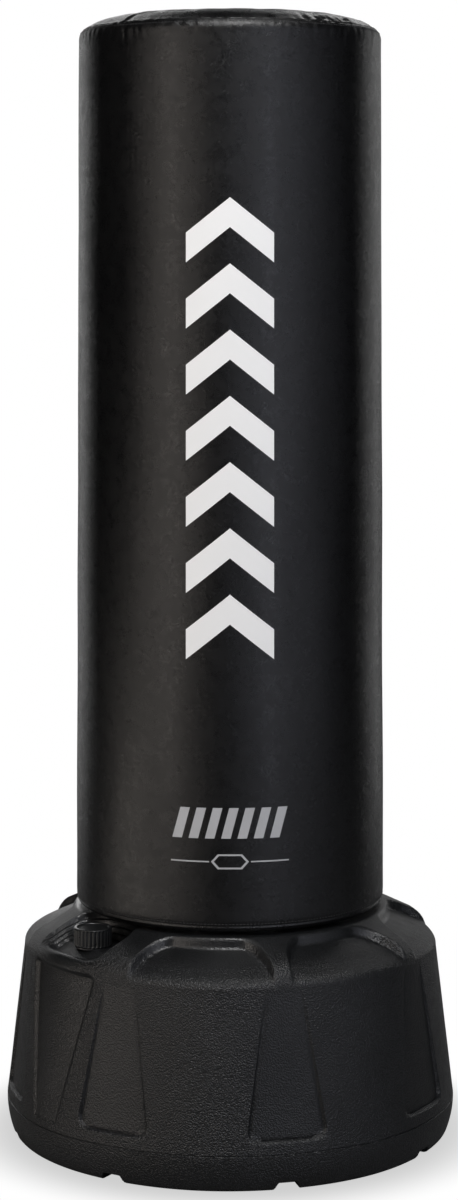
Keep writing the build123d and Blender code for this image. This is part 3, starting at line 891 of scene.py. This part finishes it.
    def sculpt(self, form: Form) -> None:
        """Moves the plain turned form's vertices into the moulded shape.

        Args:
            form: mesh in millimetres, which is changed.
        """
        grain = form.verts.layers.float.new("grain")
        cap_azimuth = azimuth_of(self.cap_axis)
        form.normal_update()
        for vertex in form.verts:
            radius, height = vertex.co.xy.length, vertex.co.z
            if radius < 1.0:
                continue
            azimuth = azimuth_of(vertex.co)
            rib = self.rib_azimuth + round((azimuth - self.rib_azimuth) / self.step) * self.step
            offset = azimuth - rib
            angle = math.copysign(self.warped(abs(offset) / (self.step / 2.0), radius, height), offset)
            normal_r = (vertex.normal.x * vertex.co.x + vertex.normal.y * vertex.co.y) / radius
            normal_z = vertex.normal.z
            across = radius * angle
            from_cap = wrapped(rib + angle - cap_azimuth)
            is_pocket = abs(from_cap) < self.step / 2.0
            depth = self.panel_recess(across, height)
            smooth = ease(self.panel_inset(across, height) / 6.0) * 0.4 if depth > 0.0 else 0.0
            if is_pocket:
                chute = self.chute_recess(radius * from_cap, height)
                smooth = max(smooth, 0.45 * ease(chute / 2.0))
                depth += chute
            else:
                depth += self.bay_recess(across, radius, height)
            if height < self.parting - 2.0 and radius > 100.0:
                lift = self.groove_height * self.groove_share(across, radius)
                height = max(height, lift)
            flat = self.facet * 0.5 * (1.0 + math.cos(self.ribs * angle))
            flat *= ease((radius - 250.0) / 50.0) * mix(0.3, 1.0, (height - 10.0) / 90.0)
            ripple = noise.noise(Vector((azimuth * 3.0, height / 90.0, radius / 90.0))) * 0.4
            new_radius = radius * (1.0 - flat) - (depth - ripple * ease(height / 30.0)) * normal_r
            new_height = height - depth * normal_z
            spot = from_azimuth(rib + angle, new_radius, new_height)
            if is_pocket and height > self.pocket_low and radius > self.pocket_inner:
                spot.z = self.pocket_height(spot)
                smooth = max(smooth, 0.75 * ease((80.0 - (spot.xy - self.cap_axis.xy).length) / 20.0))
            if height > self.shoulder:
                smooth = max(smooth, 0.85 * ease((296.0 - spot.xy.length) / 34.0))
            vertex.co = spot
            vertex[grain] = 1.0 - smooth

    def build(self) -> None:
        """Makes the tank and ties it to the base."""
        form = self.outline().spun(self.ribs * self.columns_per_rib, self.rib_azimuth)
        self.refine_pocket(form)
        self.sculpt(form)
        bmesh.ops.recalc_face_normals(form, faces=form.faces)
        tank = finish_mesh(form, "moulded_tank")
        place_piece(tank, "base", "tank_polyethylene", TANK_PLASTIC, "base_tank")


@dataclass
class RibbedCap:
    """Screw cap of the filling neck: upright ribs to grip, a raised rim on top and a hollow for the neck."""

    axis: Vector
    low: float
    high: float
    radius: float = 28.5
    bore: float = 23.9
    ribs: int = 28
    valley: float = 1.5
    columns: int = 448

    @classmethod
    def from_frame(cls) -> "RibbedCap":
        """Cap with its place and size taken from the CAD node.

        Returns:
            The cap.
        """
        low, high = (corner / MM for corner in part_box("fill_cap"))
        middle = (low + high) / 2.0
        return cls(Vector((middle.x, middle.y, 0.0)), low.z, high.z, (high.x - low.x) / 2.0)

    def outline(self) -> Outline:
        """Section from the middle of the hollow round the skirt to the middle of the top.

        Returns:
            The outline.
        """
        low, high, radius, bore = self.low, self.high, self.radius, self.bore
        run = Outline().start(0.0, high - 3.4).line(bore, high - 3.4, 8.0).line(bore, low)
        run.line(radius - 1.6, low, 1.0)
        run.arc((radius - 0.5, low + 0.5), (radius, low + 1.6), 0.6).line(radius, high - 2.2, 1.2)
        run.arc((radius - 0.6, high - 0.6), (radius - 2.2, high), 0.6).line(radius - 4.4, high, 1.0)
        run.arc((radius - 5.2, high - 0.4), (radius - 5.6, high - 1.2), 0.5)
        run.line(radius - 6.4, high - 1.7, 0.6)
        return run.line(4.0, high - 1.7, 5.0).line(0.0, high - 1.7)

    def build(self) -> None:
        """Makes the cap and ties it to its body."""
        form = self.outline().spun(self.columns)
        for vertex in form.verts:
            radius = vertex.co.xy.length
            if radius < self.radius - 2.4:
                continue
            wave = (0.5 + 0.5 * math.cos(self.ribs * azimuth_of(vertex.co))) ** 1.6
            ends = ease((vertex.co.z - self.low - 0.2) / 2.0) * ease((self.high - 0.8 - vertex.co.z) / 2.4)
            share = 1.0 - self.valley * wave * ends / radius
            vertex.co.x *= share
            vertex.co.y *= share
        bmesh.ops.translate(form, vec=self.axis, verts=form.verts)
        cap = finish_mesh(form, "ribbed_cap")
        place_piece(cap, "cap", "cap_polypropylene", CAP_PLASTIC, "fill_cap")


# ------------------------------------------------------------------ bag cover
@dataclass
class Pucker:
    """One gathered fold at the top seam."""

    azimuth: float
    depth: float
    width: float
    length: float
    lean: float = 0.0

    def relief(self, azimuth: float, radius: float, away: float) -> float:
        """Height of the fold's surface over the plain cover, negative in its valley.

        Args:
            azimuth: azimuth of the point.
            radius: distance of the point from the Z axis.
            away: distance of the point from the seam along the cover.

        Returns:
            The height in millimetres.
        """
        if away > self.length:
            return 0.0
        across = wrapped(azimuth - self.azimuth) * max(radius, 120.0) - self.lean * away
        share = (across / self.width) ** 2
        if share > 9.0:
            return 0.0
        fade = ease(1.0 - away / self.length) * ease(0.25 + away / 4.0)
        return -self.depth * fade * (1.0 - 1.3 * share) * math.exp(-share)


@dataclass
class Gathers:
    """Folds on one side of the seam, found by azimuth."""

    reach: float = 0.0
    bins: int = 120
    by_bin: dict[int, list[Pucker]] = field(default_factory=dict)

    def add(self, azimuth: float, depth: float, width: float, length: float, lean: float = 0.0) -> None:
        """Adds a fold to every bin that it touches.

        Args:
            azimuth: azimuth of the fold.
            depth: depth of the valley.
            width: half width of the valley.
            length: how far it runs from the seam.
            lean: sideways run for each millimetre of length.
        """
        fold = Pucker(azimuth, depth, width, length, lean)
        self.reach = max(self.reach, length)
        spread = (3.0 * width + abs(lean) * length) / 170.0
        first = math.floor((azimuth - spread) / FULL_TURN * self.bins)
        last = math.floor((azimuth + spread) / FULL_TURN * self.bins)
        for index in range(first, last + 1):
            self.by_bin.setdefault(index % self.bins, []).append(fold)

    def relief(self, azimuth: float, radius: float, away: float) -> float:
        """Height of all folds together at a point.

        Args:
            azimuth: azimuth of the point.
            radius: distance from the Z axis.
            away: distance from the seam along the cover.

        Returns:
            The height in millimetres.
        """
        if away > self.reach:
            return 0.0
        index = math.floor(azimuth / FULL_TURN * self.bins) % self.bins
        return sum(fold.relief(azimuth, radius, away) for fold in self.by_bin.get(index, ()))


# Cloth settings of the vinyl while the foam pushes it outwards.
STUFFING: dict[str, float | bool] = {
    "quality": 4,
    "mass": 0.4,
    "tension_stiffness": 30.0,
    "compression_stiffness": 12.0,
    "bending_stiffness": 2.0,
    "use_pressure": True,
    "uniform_pressure_force": 4.0,
}


@dataclass
class PaddedCover:
    """Stuffed vinyl cover: hem, side, top seam with its gathers, crowned top and the seam down the back."""

    low_radius: float = 238.0
    top_radius: float = 235.0
    hem: float = 349.6
    hem_radius: float = 182.0
    seam: float = 1697.0
    seam_radius: float = 230.4
    crown: float = 1720.0
    bend_radius: float = 203.0
    bend_drop: float = 6.6
    wall: float = 2.6
    lap: float = 13.0
    lap_step: float = 1.1
    swell_cap: float = 2.2
    swell_frames: int = 20
    columns: int = 120
    seed: int = 41
    side_folds: Gathers = field(default_factory=Gathers)
    top_folds: Gathers = field(default_factory=Gathers)

    @classmethod
    def from_frame(cls) -> "PaddedCover":
        """Cover with its height and radius taken from the CAD nodes.

        Returns:
            The cover.
        """
        low, high = (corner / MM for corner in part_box("cover_side"))
        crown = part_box("cover_top")[1].z / MM
        cover = cls(low_radius=(high.x - low.x) / 2.0 - 0.5, hem=low.z, crown=crown)
        cover.gather()
        return cover

    def gather(self) -> None:
        """Lays out the folds: a fan of deep ones on the right, a few on the left, shallow ones all round."""
        chance = random.Random(self.seed)
        for index in range(14):
            azimuth = math.radians(31.0 + index * 4.3 + chance.uniform(-1.4, 1.4))
            depth, length = chance.uniform(2.4, 4.4), chance.uniform(34.0, 66.0)
            self.top_folds.add(azimuth, depth, chance.uniform(3.8, 5.6), length, chance.uniform(-0.5, 0.1))
        self.top_folds.add(math.radians(-44.0), 3.8, 5.0, 70.0, 0.12)
        self.top_folds.add(math.radians(-61.0), 2.2, 5.0, 40.0, -0.1)
        left = ((-73.0, 1.9, 26.0), (-49.0, 1.8, 26.0), (-42.5, 2.1, 42.0), (-36.0, 1.3, 30.0))
        for degrees, depth, length in left:
            self.side_folds.add(math.radians(degrees), depth, 4.2, length, 0.06)
        shallow = ((self.side_folds, 84, 1.0, 44.0), (self.top_folds, 70, 1.3, 48.0))
        for folds, count, deepest, longest in shallow:
            for index in range(count):
                azimuth = FULL_TURN * (index + chance.uniform(-0.35, 0.35)) / count
                depth, width = deepest * chance.uniform(0.3, 1.0), chance.uniform(4.0, 7.5)
                length = longest * chance.uniform(0.3, 1.0)
                folds.add(azimuth, depth, width, length, chance.uniform(-0.2, 0.2))

    def outline(self) -> Outline:
        """Section of the cover's wall, from the inner pole round the hem to the crown.

        Returns:
            The outline.
        """
        low, top, hem, seam, wall = self.low_radius, self.top_radius, self.hem, self.seam, self.wall
        run = Outline().start(0.0, self.crown - wall).line(200.0, self.crown - 7.0 - wall, 50.0)
        run.line(top - 9.0, seam - 2.0).line(top - wall, seam - 16.0).line(low - wall, hem + 14.0, 260.0)
        run.line(low - 9.0, hem + 1.3).line(self.hem_radius, hem + 1.3, 20.0).line(self.hem_radius, hem)
        run.line(low - 10.0, hem, 12.0).arc((low - 5.0, hem + 1.4), (low - 2.2, hem + 5.0), 2.2)
        run.line(low - 1.2, hem + 6.0).line(low - 0.7, hem + 7.4).line(low - 1.2, hem + 8.8)
        run.line(low - 1.7, hem + 9.8).arc((low - 0.5, hem + 14.0), (low, hem + 20.0), 3.2)
        run.line(low - 0.2, hem + 60.0, 9.0).line(top + 0.3, seam - 78.0, 18.0).line(top, seam - 17.0, 6.0)
        run.arc((top - 0.9, seam - 7.5), (self.seam_radius + 0.3, seam - 0.9), 2.0)
        run.line(self.seam_radius - 1.5, seam).line(self.seam_radius - 1.2, seam + 1.2)
        run.arc((220.0, seam + 9.0), (self.bend_radius, self.crown - self.bend_drop), 4.0)
        run.arc((110.0, self.crown - 1.6), (14.0, self.crown), 10.0)
        return run.line(0.0, self.crown)

    def refine_rim(self, cover: Piece) -> None:
        """Divides the skin on both sides of the top seam once more, for the gathers.

        Args:
            cover: the cover, whose mesh is changed.
        """
        form = bmesh.new()
        form.from_mesh(cover.data)
        edges = set()
        for face in form.faces:
            spot = face.calc_center_median() / MM
            on_side = self.seam - 62.0 < spot.z < self.seam and spot.xy.length > self.top_radius - 1.6
            on_top = spot.xy.length > 150.0 and spot.z > self.crown_height(spot.xy.length) - 1.0
            if on_side or on_top:
                edges.update(face.edges)
        bmesh.ops.subdivide_edges(form, edges=list(edges), cuts=1, use_grid_fill=True)
        for face in form.faces:
            face.smooth = True
        form.to_mesh(cover.data)
        form.free()

    def swell(self, cover: Piece) -> None:
        """Blows the cover up a little with cloth simulation, held at its seams, hem and inside.

        Args:
            cover: the plain cover, in metres. Its mesh is changed.
        """
        held = cover.vertex_groups.new(name="held")
        rest = [vertex.co.copy() for vertex in cover.data.vertices]
        for index, point in enumerate(rest):
            spot = point / MM
            at_seam = abs(spot.z - self.seam) < 2.5 and spot.xy.length > 222.0
            limit = self.low_radius - 1.2 if spot.z < self.seam - 60.0 else self.top_radius - 5.0
            inside = spot.z < self.hem + 12.0 or (spot.xy.length < limit - 1.0 and spot.z < self.seam - 2.0)
            under_crown = spot.xy.length < 226.0 and spot.z < self.crown_height(spot.xy.length) - 1.2
            if at_seam or inside or under_crown:
                held.add([index], 1.0, "REPLACE")
        cloth = cover.modifiers.new("stuffing", "CLOTH")
        for name, value in STUFFING.items():
            setattr(cloth.settings, name, value)
        cloth.settings.vertex_group_mass = held.name
        cloth.settings.effector_weights.gravity = 0.0
        cloth.collision_settings.use_collision = False
        scene = bpy.context.scene
        for frame_number in range(1, self.swell_frames + 1):
            scene.frame_set(frame_number)
        shaped = cover.evaluated_get(bpy.context.evaluated_depsgraph_get()).data
        for vertex, start, moved in zip(cover.data.vertices, rest, shaped.vertices):
            travel = moved.co - start
            travel.length = min(travel.length, self.swell_cap * MM) if travel.length > 0.0 else 0.0
            vertex.co = start + travel
        cover.modifiers.remove(cloth)
        cover.vertex_groups.remove(held)
        scene.frame_set(1)

    def crown_height(self, radius: float) -> float:
        """Height of the plain crowned top at a radius.

        Args:
            radius: distance from the Z axis.

        Returns:
            The height in millimetres.
        """
        bend, bend_z = self.bend_radius, self.crown - self.bend_drop
        if radius < bend:
            return self.crown - self.bend_drop * (radius / bend) ** 2
        return mix(bend_z, self.seam + 1.2, ((radius - bend) / (self.seam_radius - 1.2 - bend)) ** 1.6)

    def sculpt(self, cover: Piece) -> None:
        """Adds the gathers, the foam's soft unevenness and the lapped seam to the swollen cover.

        Args:
            cover: the cover, whose mesh is changed.
        """
        points = [vertex.co / MM for vertex in cover.data.vertices]
        facing = [vertex.normal.dot(spot) for vertex, spot in zip(cover.data.vertices, points)]
        for vertex, spot, outwards in zip(cover.data.vertices, points, facing):
            radius, azimuth = spot.xy.length, azimuth_of(spot)
            is_skin = outwards > 0.0 or spot.z > self.crown_height(radius) - 1.0
            if not is_skin or spot.z < self.hem + 11.0:
                continue
            outward = Vector((spot.x, spot.y, 0.0)).normalized() if radius > 1.0 else UPWARDS
            if spot.z < self.seam - 0.4:
                away = self.seam - spot.z
                relief = self.side_folds.relief(azimuth, radius, away)
                lumps = noise.noise(Vector((outward.x * 3.1, outward.y * 3.1, spot.z / 210.0)))
                relief += 1.0 * lumps * ease((spot.z - self.hem - 20.0) / 90.0) * ease(away / 60.0)
                from_back = wrapped(azimuth - math.pi) * radius
                lap = ease((from_back + 1.5) / 3.0) * ease((self.lap + 50.0 - from_back) / 50.0)
                relief += self.lap_step * lap
                spot += outward * min(relief, 1.6)
            elif radius > 60.0:
                away = self.seam_radius - radius
                relief = self.top_folds.relief(azimuth, radius, max(away, 0.0))
                relief += 1.2 * noise.noise(Vector((spot.x / 70.0, spot.y / 70.0, 5.0))) * ease(away / 50.0)
                tilt = ease((radius - 185.0) / 45.0)
                spot += (outward * tilt * 0.6 + UPWARDS * (1.0 - 0.4 * tilt)) * relief
            vertex.co = spot * MM

    def unwrap(self, cover: Piece) -> None:
        """UV map in metres: arc length round the bag across, height or radius up.

        Args:
            cover: the cover, whose mesh is changed.
        """
        layer = cover.data.uv_layers.new(name="cloth")
        around_r = self.low_radius * MM
        for polygon in cover.data.polygons:
            centre = azimuth_of(polygon.center)
            is_top = polygon.center.z > self.seam * MM
            for loop in polygon.loop_indices:
                point = cover.data.vertices[cover.data.loops[loop].vertex_index].co
                if is_top or point.xy.length < 0.2:
                    layer.data[loop].uv = (point.x, point.y)
                    continue
                azimuth = centre + wrapped(azimuth_of(point) - centre)
                layer.data[loop].uv = (azimuth * around_r, point.z)

    def build(self) -> Piece:
        """Makes the cover, ties it to the bag and returns it.

        Returns:
            The cover.
        """
        form = self.outline().spun(self.columns)
        cover = finish_mesh(form, "padded_cover")
        self.swell(cover)
        finer = cover.modifiers.new("finer", "SUBSURF")
        finer.levels = finer.render_levels = 1
        with bpy.context.temp_override(object=cover, active_object=cover, selected_objects=[cover]):
            bpy.ops.object.modifier_apply(modifier=finer.name)
        self.refine_rim(cover)
        self.sculpt(cover)
        self.unwrap(cover)
        place_piece(cover, "bag", "cover_vinyl", COVER_VINYL, "cover_side", "cover_top", "cover_hem")
        return cover


# ------------------------------------------------------------------ sewing and print
@dataclass
class CoverProbe:
    """Finds the finished cover's skin, so that thread and print lie on it."""

    cover: Piece
    tree: BVHTree = field(init=False)

    def __post_init__(self) -> None:
        """Builds the search tree from the cover's mesh."""
        mesh = self.cover.data
        self.tree = BVHTree.FromPolygons([v.co for v in mesh.vertices], [p.vertices for p in mesh.polygons])

    def outside(self, azimuth: float, height: float) -> tuple[Vector, Vector]:
        """Point and outward normal of the side's skin, in millimetres.

        Args:
            azimuth: azimuth of the point.
            height: height above the floor.

        Returns:
            The point and the normal.
        """
        start = from_azimuth(azimuth, 0.4, height * MM)
        inwards = from_azimuth(azimuth, -1.0, 0.0)
        return self._hit(start, inwards)

    def facing(self, across: float, height: float) -> tuple[Vector, Vector]:
        """Point and normal of the front skin straight behind a point of the front plane, in millimetres."""
        return self._hit(Vector((across * MM, -0.4, height * MM)), Vector((0.0, 1.0, 0.0)))

    def _hit(self, start: Vector, way: Vector) -> tuple[Vector, Vector]:
        """First hit of a ray."""
        point, normal, _, _ = self.tree.ray_cast(start, way)
        return point / MM, normal


@dataclass
class Stitching:
    """Rows of lockstitch on the cover."""

    probe: CoverProbe
    pitch: float = 5.2
    length: float = 3.9
    thread: float = 0.55
    ring_radius: float = 234.0
    bead_mesh: bpy.types.Mesh = field(init=False)

    def __post_init__(self) -> None:
        """Makes the bead once."""
        self.bead_mesh = self.bead()

    def bead(self) -> bpy.types.Mesh:
        """Ball of unit radius that every stitch is stretched from.

        Returns:
            The mesh.
        """
        form = bmesh.new()
        bmesh.ops.create_uvsphere(form, u_segments=6, v_segments=4, radius=1.0)
        ball = bpy.data.meshes.new("stitch_bead")
        form.to_mesh(ball)
        form.free()
        return ball

    def stitch(self, form: Form, point: Vector, normal: Vector, way: Vector) -> None:
        """Adds one stitch, a rounded bar that dips into the vinyl at its ends.

        Args:
            form: mesh in millimetres, which is changed.
            point: point on the skin.
            normal: outward normal of the skin.
            way: direction of the row.
        """
        side = normal.cross(way).normalized()
        along = side.cross(normal).normalized()
        turn = Matrix((along, side, normal)).transposed().to_4x4()
        size = Matrix.Diagonal((self.length / 2.0, self.thread, self.thread, 1.0))
        place = Matrix.Translation(point + normal * self.thread * 0.35) @ turn @ size
        stretched = self.bead_mesh.copy()
        stretched.transform(place)
        form.from_mesh(stretched)
        bpy.data.meshes.remove(stretched)

    def ring(self, form: Form, height: float) -> None:
        """Adds a row all round at a height.

        Args:
            form: mesh in millimetres, which is changed.
            height: height above the floor.
        """
        count = int(FULL_TURN * self.ring_radius / self.pitch)
        for index in range(count):
            azimuth = FULL_TURN * index / count
            point, normal = self.probe.outside(azimuth, height)
            self.stitch(form, point, normal, from_azimuth(azimuth + math.pi / 2.0, 1.0, 0.0))

    def column(self, form: Form, azimuth: float, low: float, high: float) -> None:
        """Adds a row up the cover at an azimuth.

        Args:
            form: mesh in millimetres, which is changed.
            azimuth: azimuth of the row.
            low: lowest height.
            high: highest height.
        """
        count = int((high - low) / self.pitch)
        for index in range(count):
            point, normal = self.probe.outside(azimuth, low + (index + 0.5) * self.pitch)
            self.stitch(form, point, normal, UPWARDS)

    def fasten(self, form: Form, name: str) -> None:
        """Makes a piece of the stitches in a mesh and ties it to the bag."""
        place_piece(finish_mesh(form, name), "bag", "cover_vinyl", BLACK_THREAD)

    def build(self, cover: PaddedCover) -> None:
        """Makes the top seam's row, the hem's row and the back seam's two rows.

        Args:
            cover: the cover that is sewn.
        """
        for name, height in (("top_seam_stitches", cover.seam - 4.2), ("hem_stitches", cover.hem + 13.0)):
            form = bmesh.new()
            self.ring(form, height)
            self.fasten(form, name)
        form = bmesh.new()
        for inset in (3.0, 9.0):
            self.column(form, math.pi + inset / cover.low_radius, cover.hem + 16.0, cover.seam - 8.0)
        self.fasten(form, "back_seam_stitches")


@dataclass
class PrintedMarks:
    """Generic printed decoration, as thin films on the front of the cover."""

    probe: CoverProbe
    film: float = 0.3
    strip: float = 5.0
    chevron_count: int = 7
    chevron_rise: float = 52.0
    chevron_stroke: float = 44.0
    bar_count: int = 7
    bar_pitch: float = 24.0
    bars_left: float = -76.0
    bars_low: float = 489.0
    bars_high: float = 534.0
    lines_z: float = 455.0

    def outline_face(self, form: Form, corners: list[tuple[float, float]]) -> None:
        """Adds one flat shape, drawn as (across, height) in the front plane."""
        form.faces.new([form.verts.new((x, 0.0, z)) for x, z in corners])

    def laid_on(self, form: Form, name: str) -> Piece:
        """Cuts flat shapes into strips, lays them on the cover and gives them thickness.

        Args:
            form: flat shapes in the front plane.
            name: name of the new piece.

        Returns:
            The new piece.
        """
        heights = [vertex.co.z for vertex in form.verts]
        cuts = ((0, -90.0, 90.0, self.strip), (2, min(heights), max(heights), 4.0 * self.strip))
        for axis, low, high, step in cuts:
            normal = Vector((0.0, 0.0, 0.0))
            normal[axis] = 1.0
            for index in range(1, int((high - low) / step) + 1):
                geometry = form.verts[:] + form.edges[:] + form.faces[:]
                place = normal * (low + index * step)
                bmesh.ops.bisect_plane(form, geom=geometry, plane_co=place, plane_no=normal, dist=1e-4)
        for vertex in form.verts:
            point, normal = self.probe.facing(vertex.co.x, vertex.co.z)
            vertex.co = point + normal * self.film / 2.0
        bmesh.ops.recalc_face_normals(form, faces=form.faces)
        if form.faces[:][0].normal.y > 0.0:
            bmesh.ops.reverse_faces(form, faces=form.faces)
        bmesh.ops.solidify(form, geom=form.faces[:], thickness=self.film)
        bmesh.ops.recalc_face_normals(form, faces=form.faces)
        return finish_mesh(form, name, math.radians(30.0))

    def chevrons(self) -> Piece:
        """Column of bold chevrons that point up, where the CAD's film is.

        Returns:
            The new piece.
        """
        low, high = (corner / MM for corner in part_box("front_marks"))
        count, rise, stroke = self.chevron_count, self.chevron_rise, self.chevron_stroke
        pitch = (high.z - low.z - rise - stroke) / (count - 1)
        half = (high.x - low.x) / 2.0
        form = bmesh.new()
        for index in range(count):
            foot = low.z + index * pitch
            for side in (-1.0, 1.0):
                lower = [(0.0, foot + rise), (side * half, foot)]
                upper = [(across, height + stroke) for across, height in reversed(lower)]
                self.outline_face(form, lower + upper)
        bmesh.ops.remove_doubles(form, verts=form.verts, dist=1e-3)
        return self.laid_on(form, "front_chevrons")

    def lozenge(self, tip: float, flat: float, rise: float) -> list[tuple[float, float]]:
        """Six corners of a lozenge with flat ends above and below, round the thin lines' height."""
        corners = ((-tip, 0.0), (-flat, -rise), (flat, -rise), (tip, 0.0), (flat, rise), (-flat, rise))
        return [(across, self.lines_z + up) for across, up in corners]

    def lower_marks(self) -> Piece:
        """Slanted bars over two thin lines with a plain lozenge between them.

        Returns:
            The new piece.
        """
        form = bmesh.new()
        low, high, middle = self.bars_low, self.bars_high, self.lines_z
        for index in range(self.bar_count):
            left = self.bars_left + index * self.bar_pitch
            self.outline_face(form, [(left - 9, low), (left + 5, low), (left + 17, high), (left + 3, high)])
        for side in (-1.0, 1.0):
            line = [(31, -1), (87, -1), (87, 1), (31, 1)]
            self.outline_face(form, [(side * across, middle + up) for across, up in line])
        outer, inner = self.lozenge(28.0, 18.0, 11.0), self.lozenge(24.0, 16.0, 8.5)
        for index in range(6):
            after = (index + 1) % 6
            self.outline_face(form, [outer[index], outer[after], inner[after], inner[index]])
        bmesh.ops.remove_doubles(form, verts=form.verts, dist=1e-3)
        return self.laid_on(form, "lower_bars_and_lozenge")

    def build(self) -> None:
        """Makes both prints and ties them to the bag."""
        chevrons, lower = self.chevrons(), self.lower_marks()
        place_piece(chevrons, "bag", "print_white", WHITE_INK, "front_marks")
        place_piece(lower, "bag", "print_grey", GREY_INK, "lower_marks")


# ------------------------------------------------------------------ studio
@dataclass(frozen=True)
class SoftBox:
    """Rectangular studio light that faces the bag."""

    name: str
    azimuth: float
    distance: float
    height: float
    size: tuple[float, float]
    power: float
    colour: str = "#FFFFFF"
    aim: float = 0.9

    def build(self) -> None:
        """Adds the light, turned to the bag's axis at its aim height."""
        data = bpy.data.lights.new(self.name, "AREA")
        data.shape = "RECTANGLE"
        data.size, data.size_y = self.size
        data.energy = self.power
        data.color = linear(self.colour)[:3]
        light = bpy.data.objects.new(self.name, data)
        light.location = from_azimuth(math.radians(self.azimuth), self.distance, self.height)
        way = Vector((0.0, 0.0, self.aim)) - light.location
        light.rotation_euler = way.to_track_quat("-Z", "Y").to_euler()
        bpy.context.scene.collection.objects.link(light)


@dataclass
class Studio:
    """Pale floor, soft lights and the camera."""

    camera_distance: float = 4.268
    camera_height: float = 1.3036
    lens: float = 82.2
    shift: tuple[float, float] = (-0.0008, -0.2625)
    boxes: tuple[SoftBox, ...] = (
        SoftBox("key_left", -43.0, 2.6, 1.2, (0.6, 2.8), 19.0, "#FFF6EE"),
        SoftBox("fill_right", 28.0, 2.8, 1.2, (0.5, 2.8), 15.0, "#EEF1FF"),
        SoftBox("wide_right", 60.0, 2.8, 1.2, (0.9, 2.6), 5.0, "#EEF1FF"),
        SoftBox("low_left", -74.0, 1.9, 0.16, (0.9, 0.3), 3.0, "#FFF6EC", 0.16),
        SoftBox("high_front", 5.0, 2.5, 3.9, (1.6, 0.9), 84.0),
        SoftBox("overhead", 20.0, 0.9, 3.6, (1.8, 1.6), 8.0, aim=1.2),
        SoftBox("hair_right", 157.0, 1.9, 2.9, (0.9, 0.4), 4.5, aim=1.6),
        SoftBox("hair_left", -160.0, 1.9, 2.9, (0.5, 0.4), 2.0, aim=1.6),
        SoftBox("rim_left", -146.0, 2.6, 1.2, (0.5, 2.6), 5.0),
        SoftBox("rim_right", 140.0, 2.6, 1.2, (0.5, 2.6), 5.0),
        SoftBox("back", 188.0, 3.2, 1.5, (0.6, 2.4), 9.0),
    )

    def world(self) -> None:
        """White surround that the camera sees, and a dim one that lights the bag, brighter behind it."""
        world = bpy.data.worlds.new("studio")
        world.use_nodes = True
        bpy.context.scene.world = world
        tree = world.node_tree
        tree.nodes.clear()
        way = add_node(tree, "ShaderNodeTexCoord").outputs["Generated"]
        behind = add_node(tree, "ShaderNodeSeparateXYZ", None, {0: way}).outputs["Y"]
        settings = {"From Min": 0.8, "From Max": 1.0, "To Min": 0.02, "To Max": 0.4}
        glow = add_node(tree, "ShaderNodeMapRange", settings, {"Value": behind}).outputs["Result"]
        surround = add_node(tree, "ShaderNodeBackground", {"Color": WHITE}, {"Strength": glow})
        seen = add_node(tree, "ShaderNodeBackground", {"Color": WHITE, "Strength": 1.0})
        is_seen = add_node(tree, "ShaderNodeLightPath").outputs["Is Camera Ray"]
        links = {0: is_seen, 1: surround.outputs[0], 2: seen.outputs[0]}
        both = add_node(tree, "ShaderNodeMixShader", None, links)
        add_node(tree, "ShaderNodeOutputWorld", None, {"Surface": both.outputs[0]})

    def floor(self) -> None:
        """Seamless floor: white to the camera with a soft shade round the foot, dim to everything else."""
        form = bmesh.new()
        bmesh.ops.create_grid(form, x_segments=2, y_segments=2, size=40000.0)
        floor = finish_mesh(form, "floor")
        made = bpy.data.materials.new("seamless_paper_white")
        made.use_nodes = True
        tree = made.node_tree
        shader = tree.nodes["Principled BSDF"]
        shader.inputs["Base Color"].default_value = linear("#6E6E6E")
        shader.inputs["Roughness"].default_value = 0.8
        coords = add_node(tree, "ShaderNodeTexCoord").outputs["Object"]
        away = add_node(tree, "ShaderNodeVectorMath", {"operation": "LENGTH"}, {0: coords}).outputs["Value"]
        settings = {"From Min": 0.32, "From Max": 0.46, "To Min": 0.62, "To Max": 1.0}
        settings["interpolation_type"] = "SMOOTHSTEP"
        level = add_node(tree, "ShaderNodeMapRange", settings, {"Value": away}).outputs["Result"]
        paper = add_node(tree, "ShaderNodeEmission", {"Color": WHITE}, {"Strength": level})
        is_seen = add_node(tree, "ShaderNodeLightPath").outputs["Is Camera Ray"]
        links = {0: is_seen, 1: shader.outputs[0], 2: paper.outputs[0]}
        both = add_node(tree, "ShaderNodeMixShader", None, links)
        tree.links.new(both.outputs[0], tree.nodes["Material Output"].inputs["Surface"])
        floor.data.materials.append(made)

    def camera(self) -> None:
        """Level camera in front of the bag."""
        data = bpy.data.cameras.new("camera")
        data.lens, data.sensor_width = self.lens, 36.0
        data.shift_x, data.shift_y = self.shift
        data.clip_end = 200.0
        camera = bpy.data.objects.new("camera", data)
        camera.location = (0.0, -self.camera_distance, self.camera_height)
        camera.rotation_euler = (math.pi / 2.0, 0.0, 0.0)
        bpy.context.scene.collection.objects.link(camera)
        bpy.context.scene.camera = camera

    def build(self) -> None:
        """Sets up everything that isn't part of the bag."""
        self.camera()
        self.world()
        self.floor()
        for box in self.boxes:
            box.build()
        bpy.context.scene.view_settings.view_transform = "Standard"


def dress_nodes(nodes: dict[str, Piece]) -> None:
    """Gives every CAD node that stays its own finish.

    Args:
        nodes: the CAD nodes by name.
    """
    for name, finish in NODE_FINISHES.items():
        mesh = nodes[name].data
        mesh.materials.clear()
        mesh.materials.append(finish.material())
        log.info("%s: %s", name, finish.name)


def main() -> None:
    logging.basicConfig(level=logging.INFO, format="%(message)s")
    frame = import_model()
    Studio().build()
    dress_nodes(frame["nodes"])
    MouldedTank.from_frame().build()
    RibbedCap.from_frame().build()
    padded = PaddedCover.from_frame()
    probe = CoverProbe(padded.build())
    Stitching(probe).build(padded)
    PrintedMarks(probe).build()


if __name__ == "__main__":
    main()
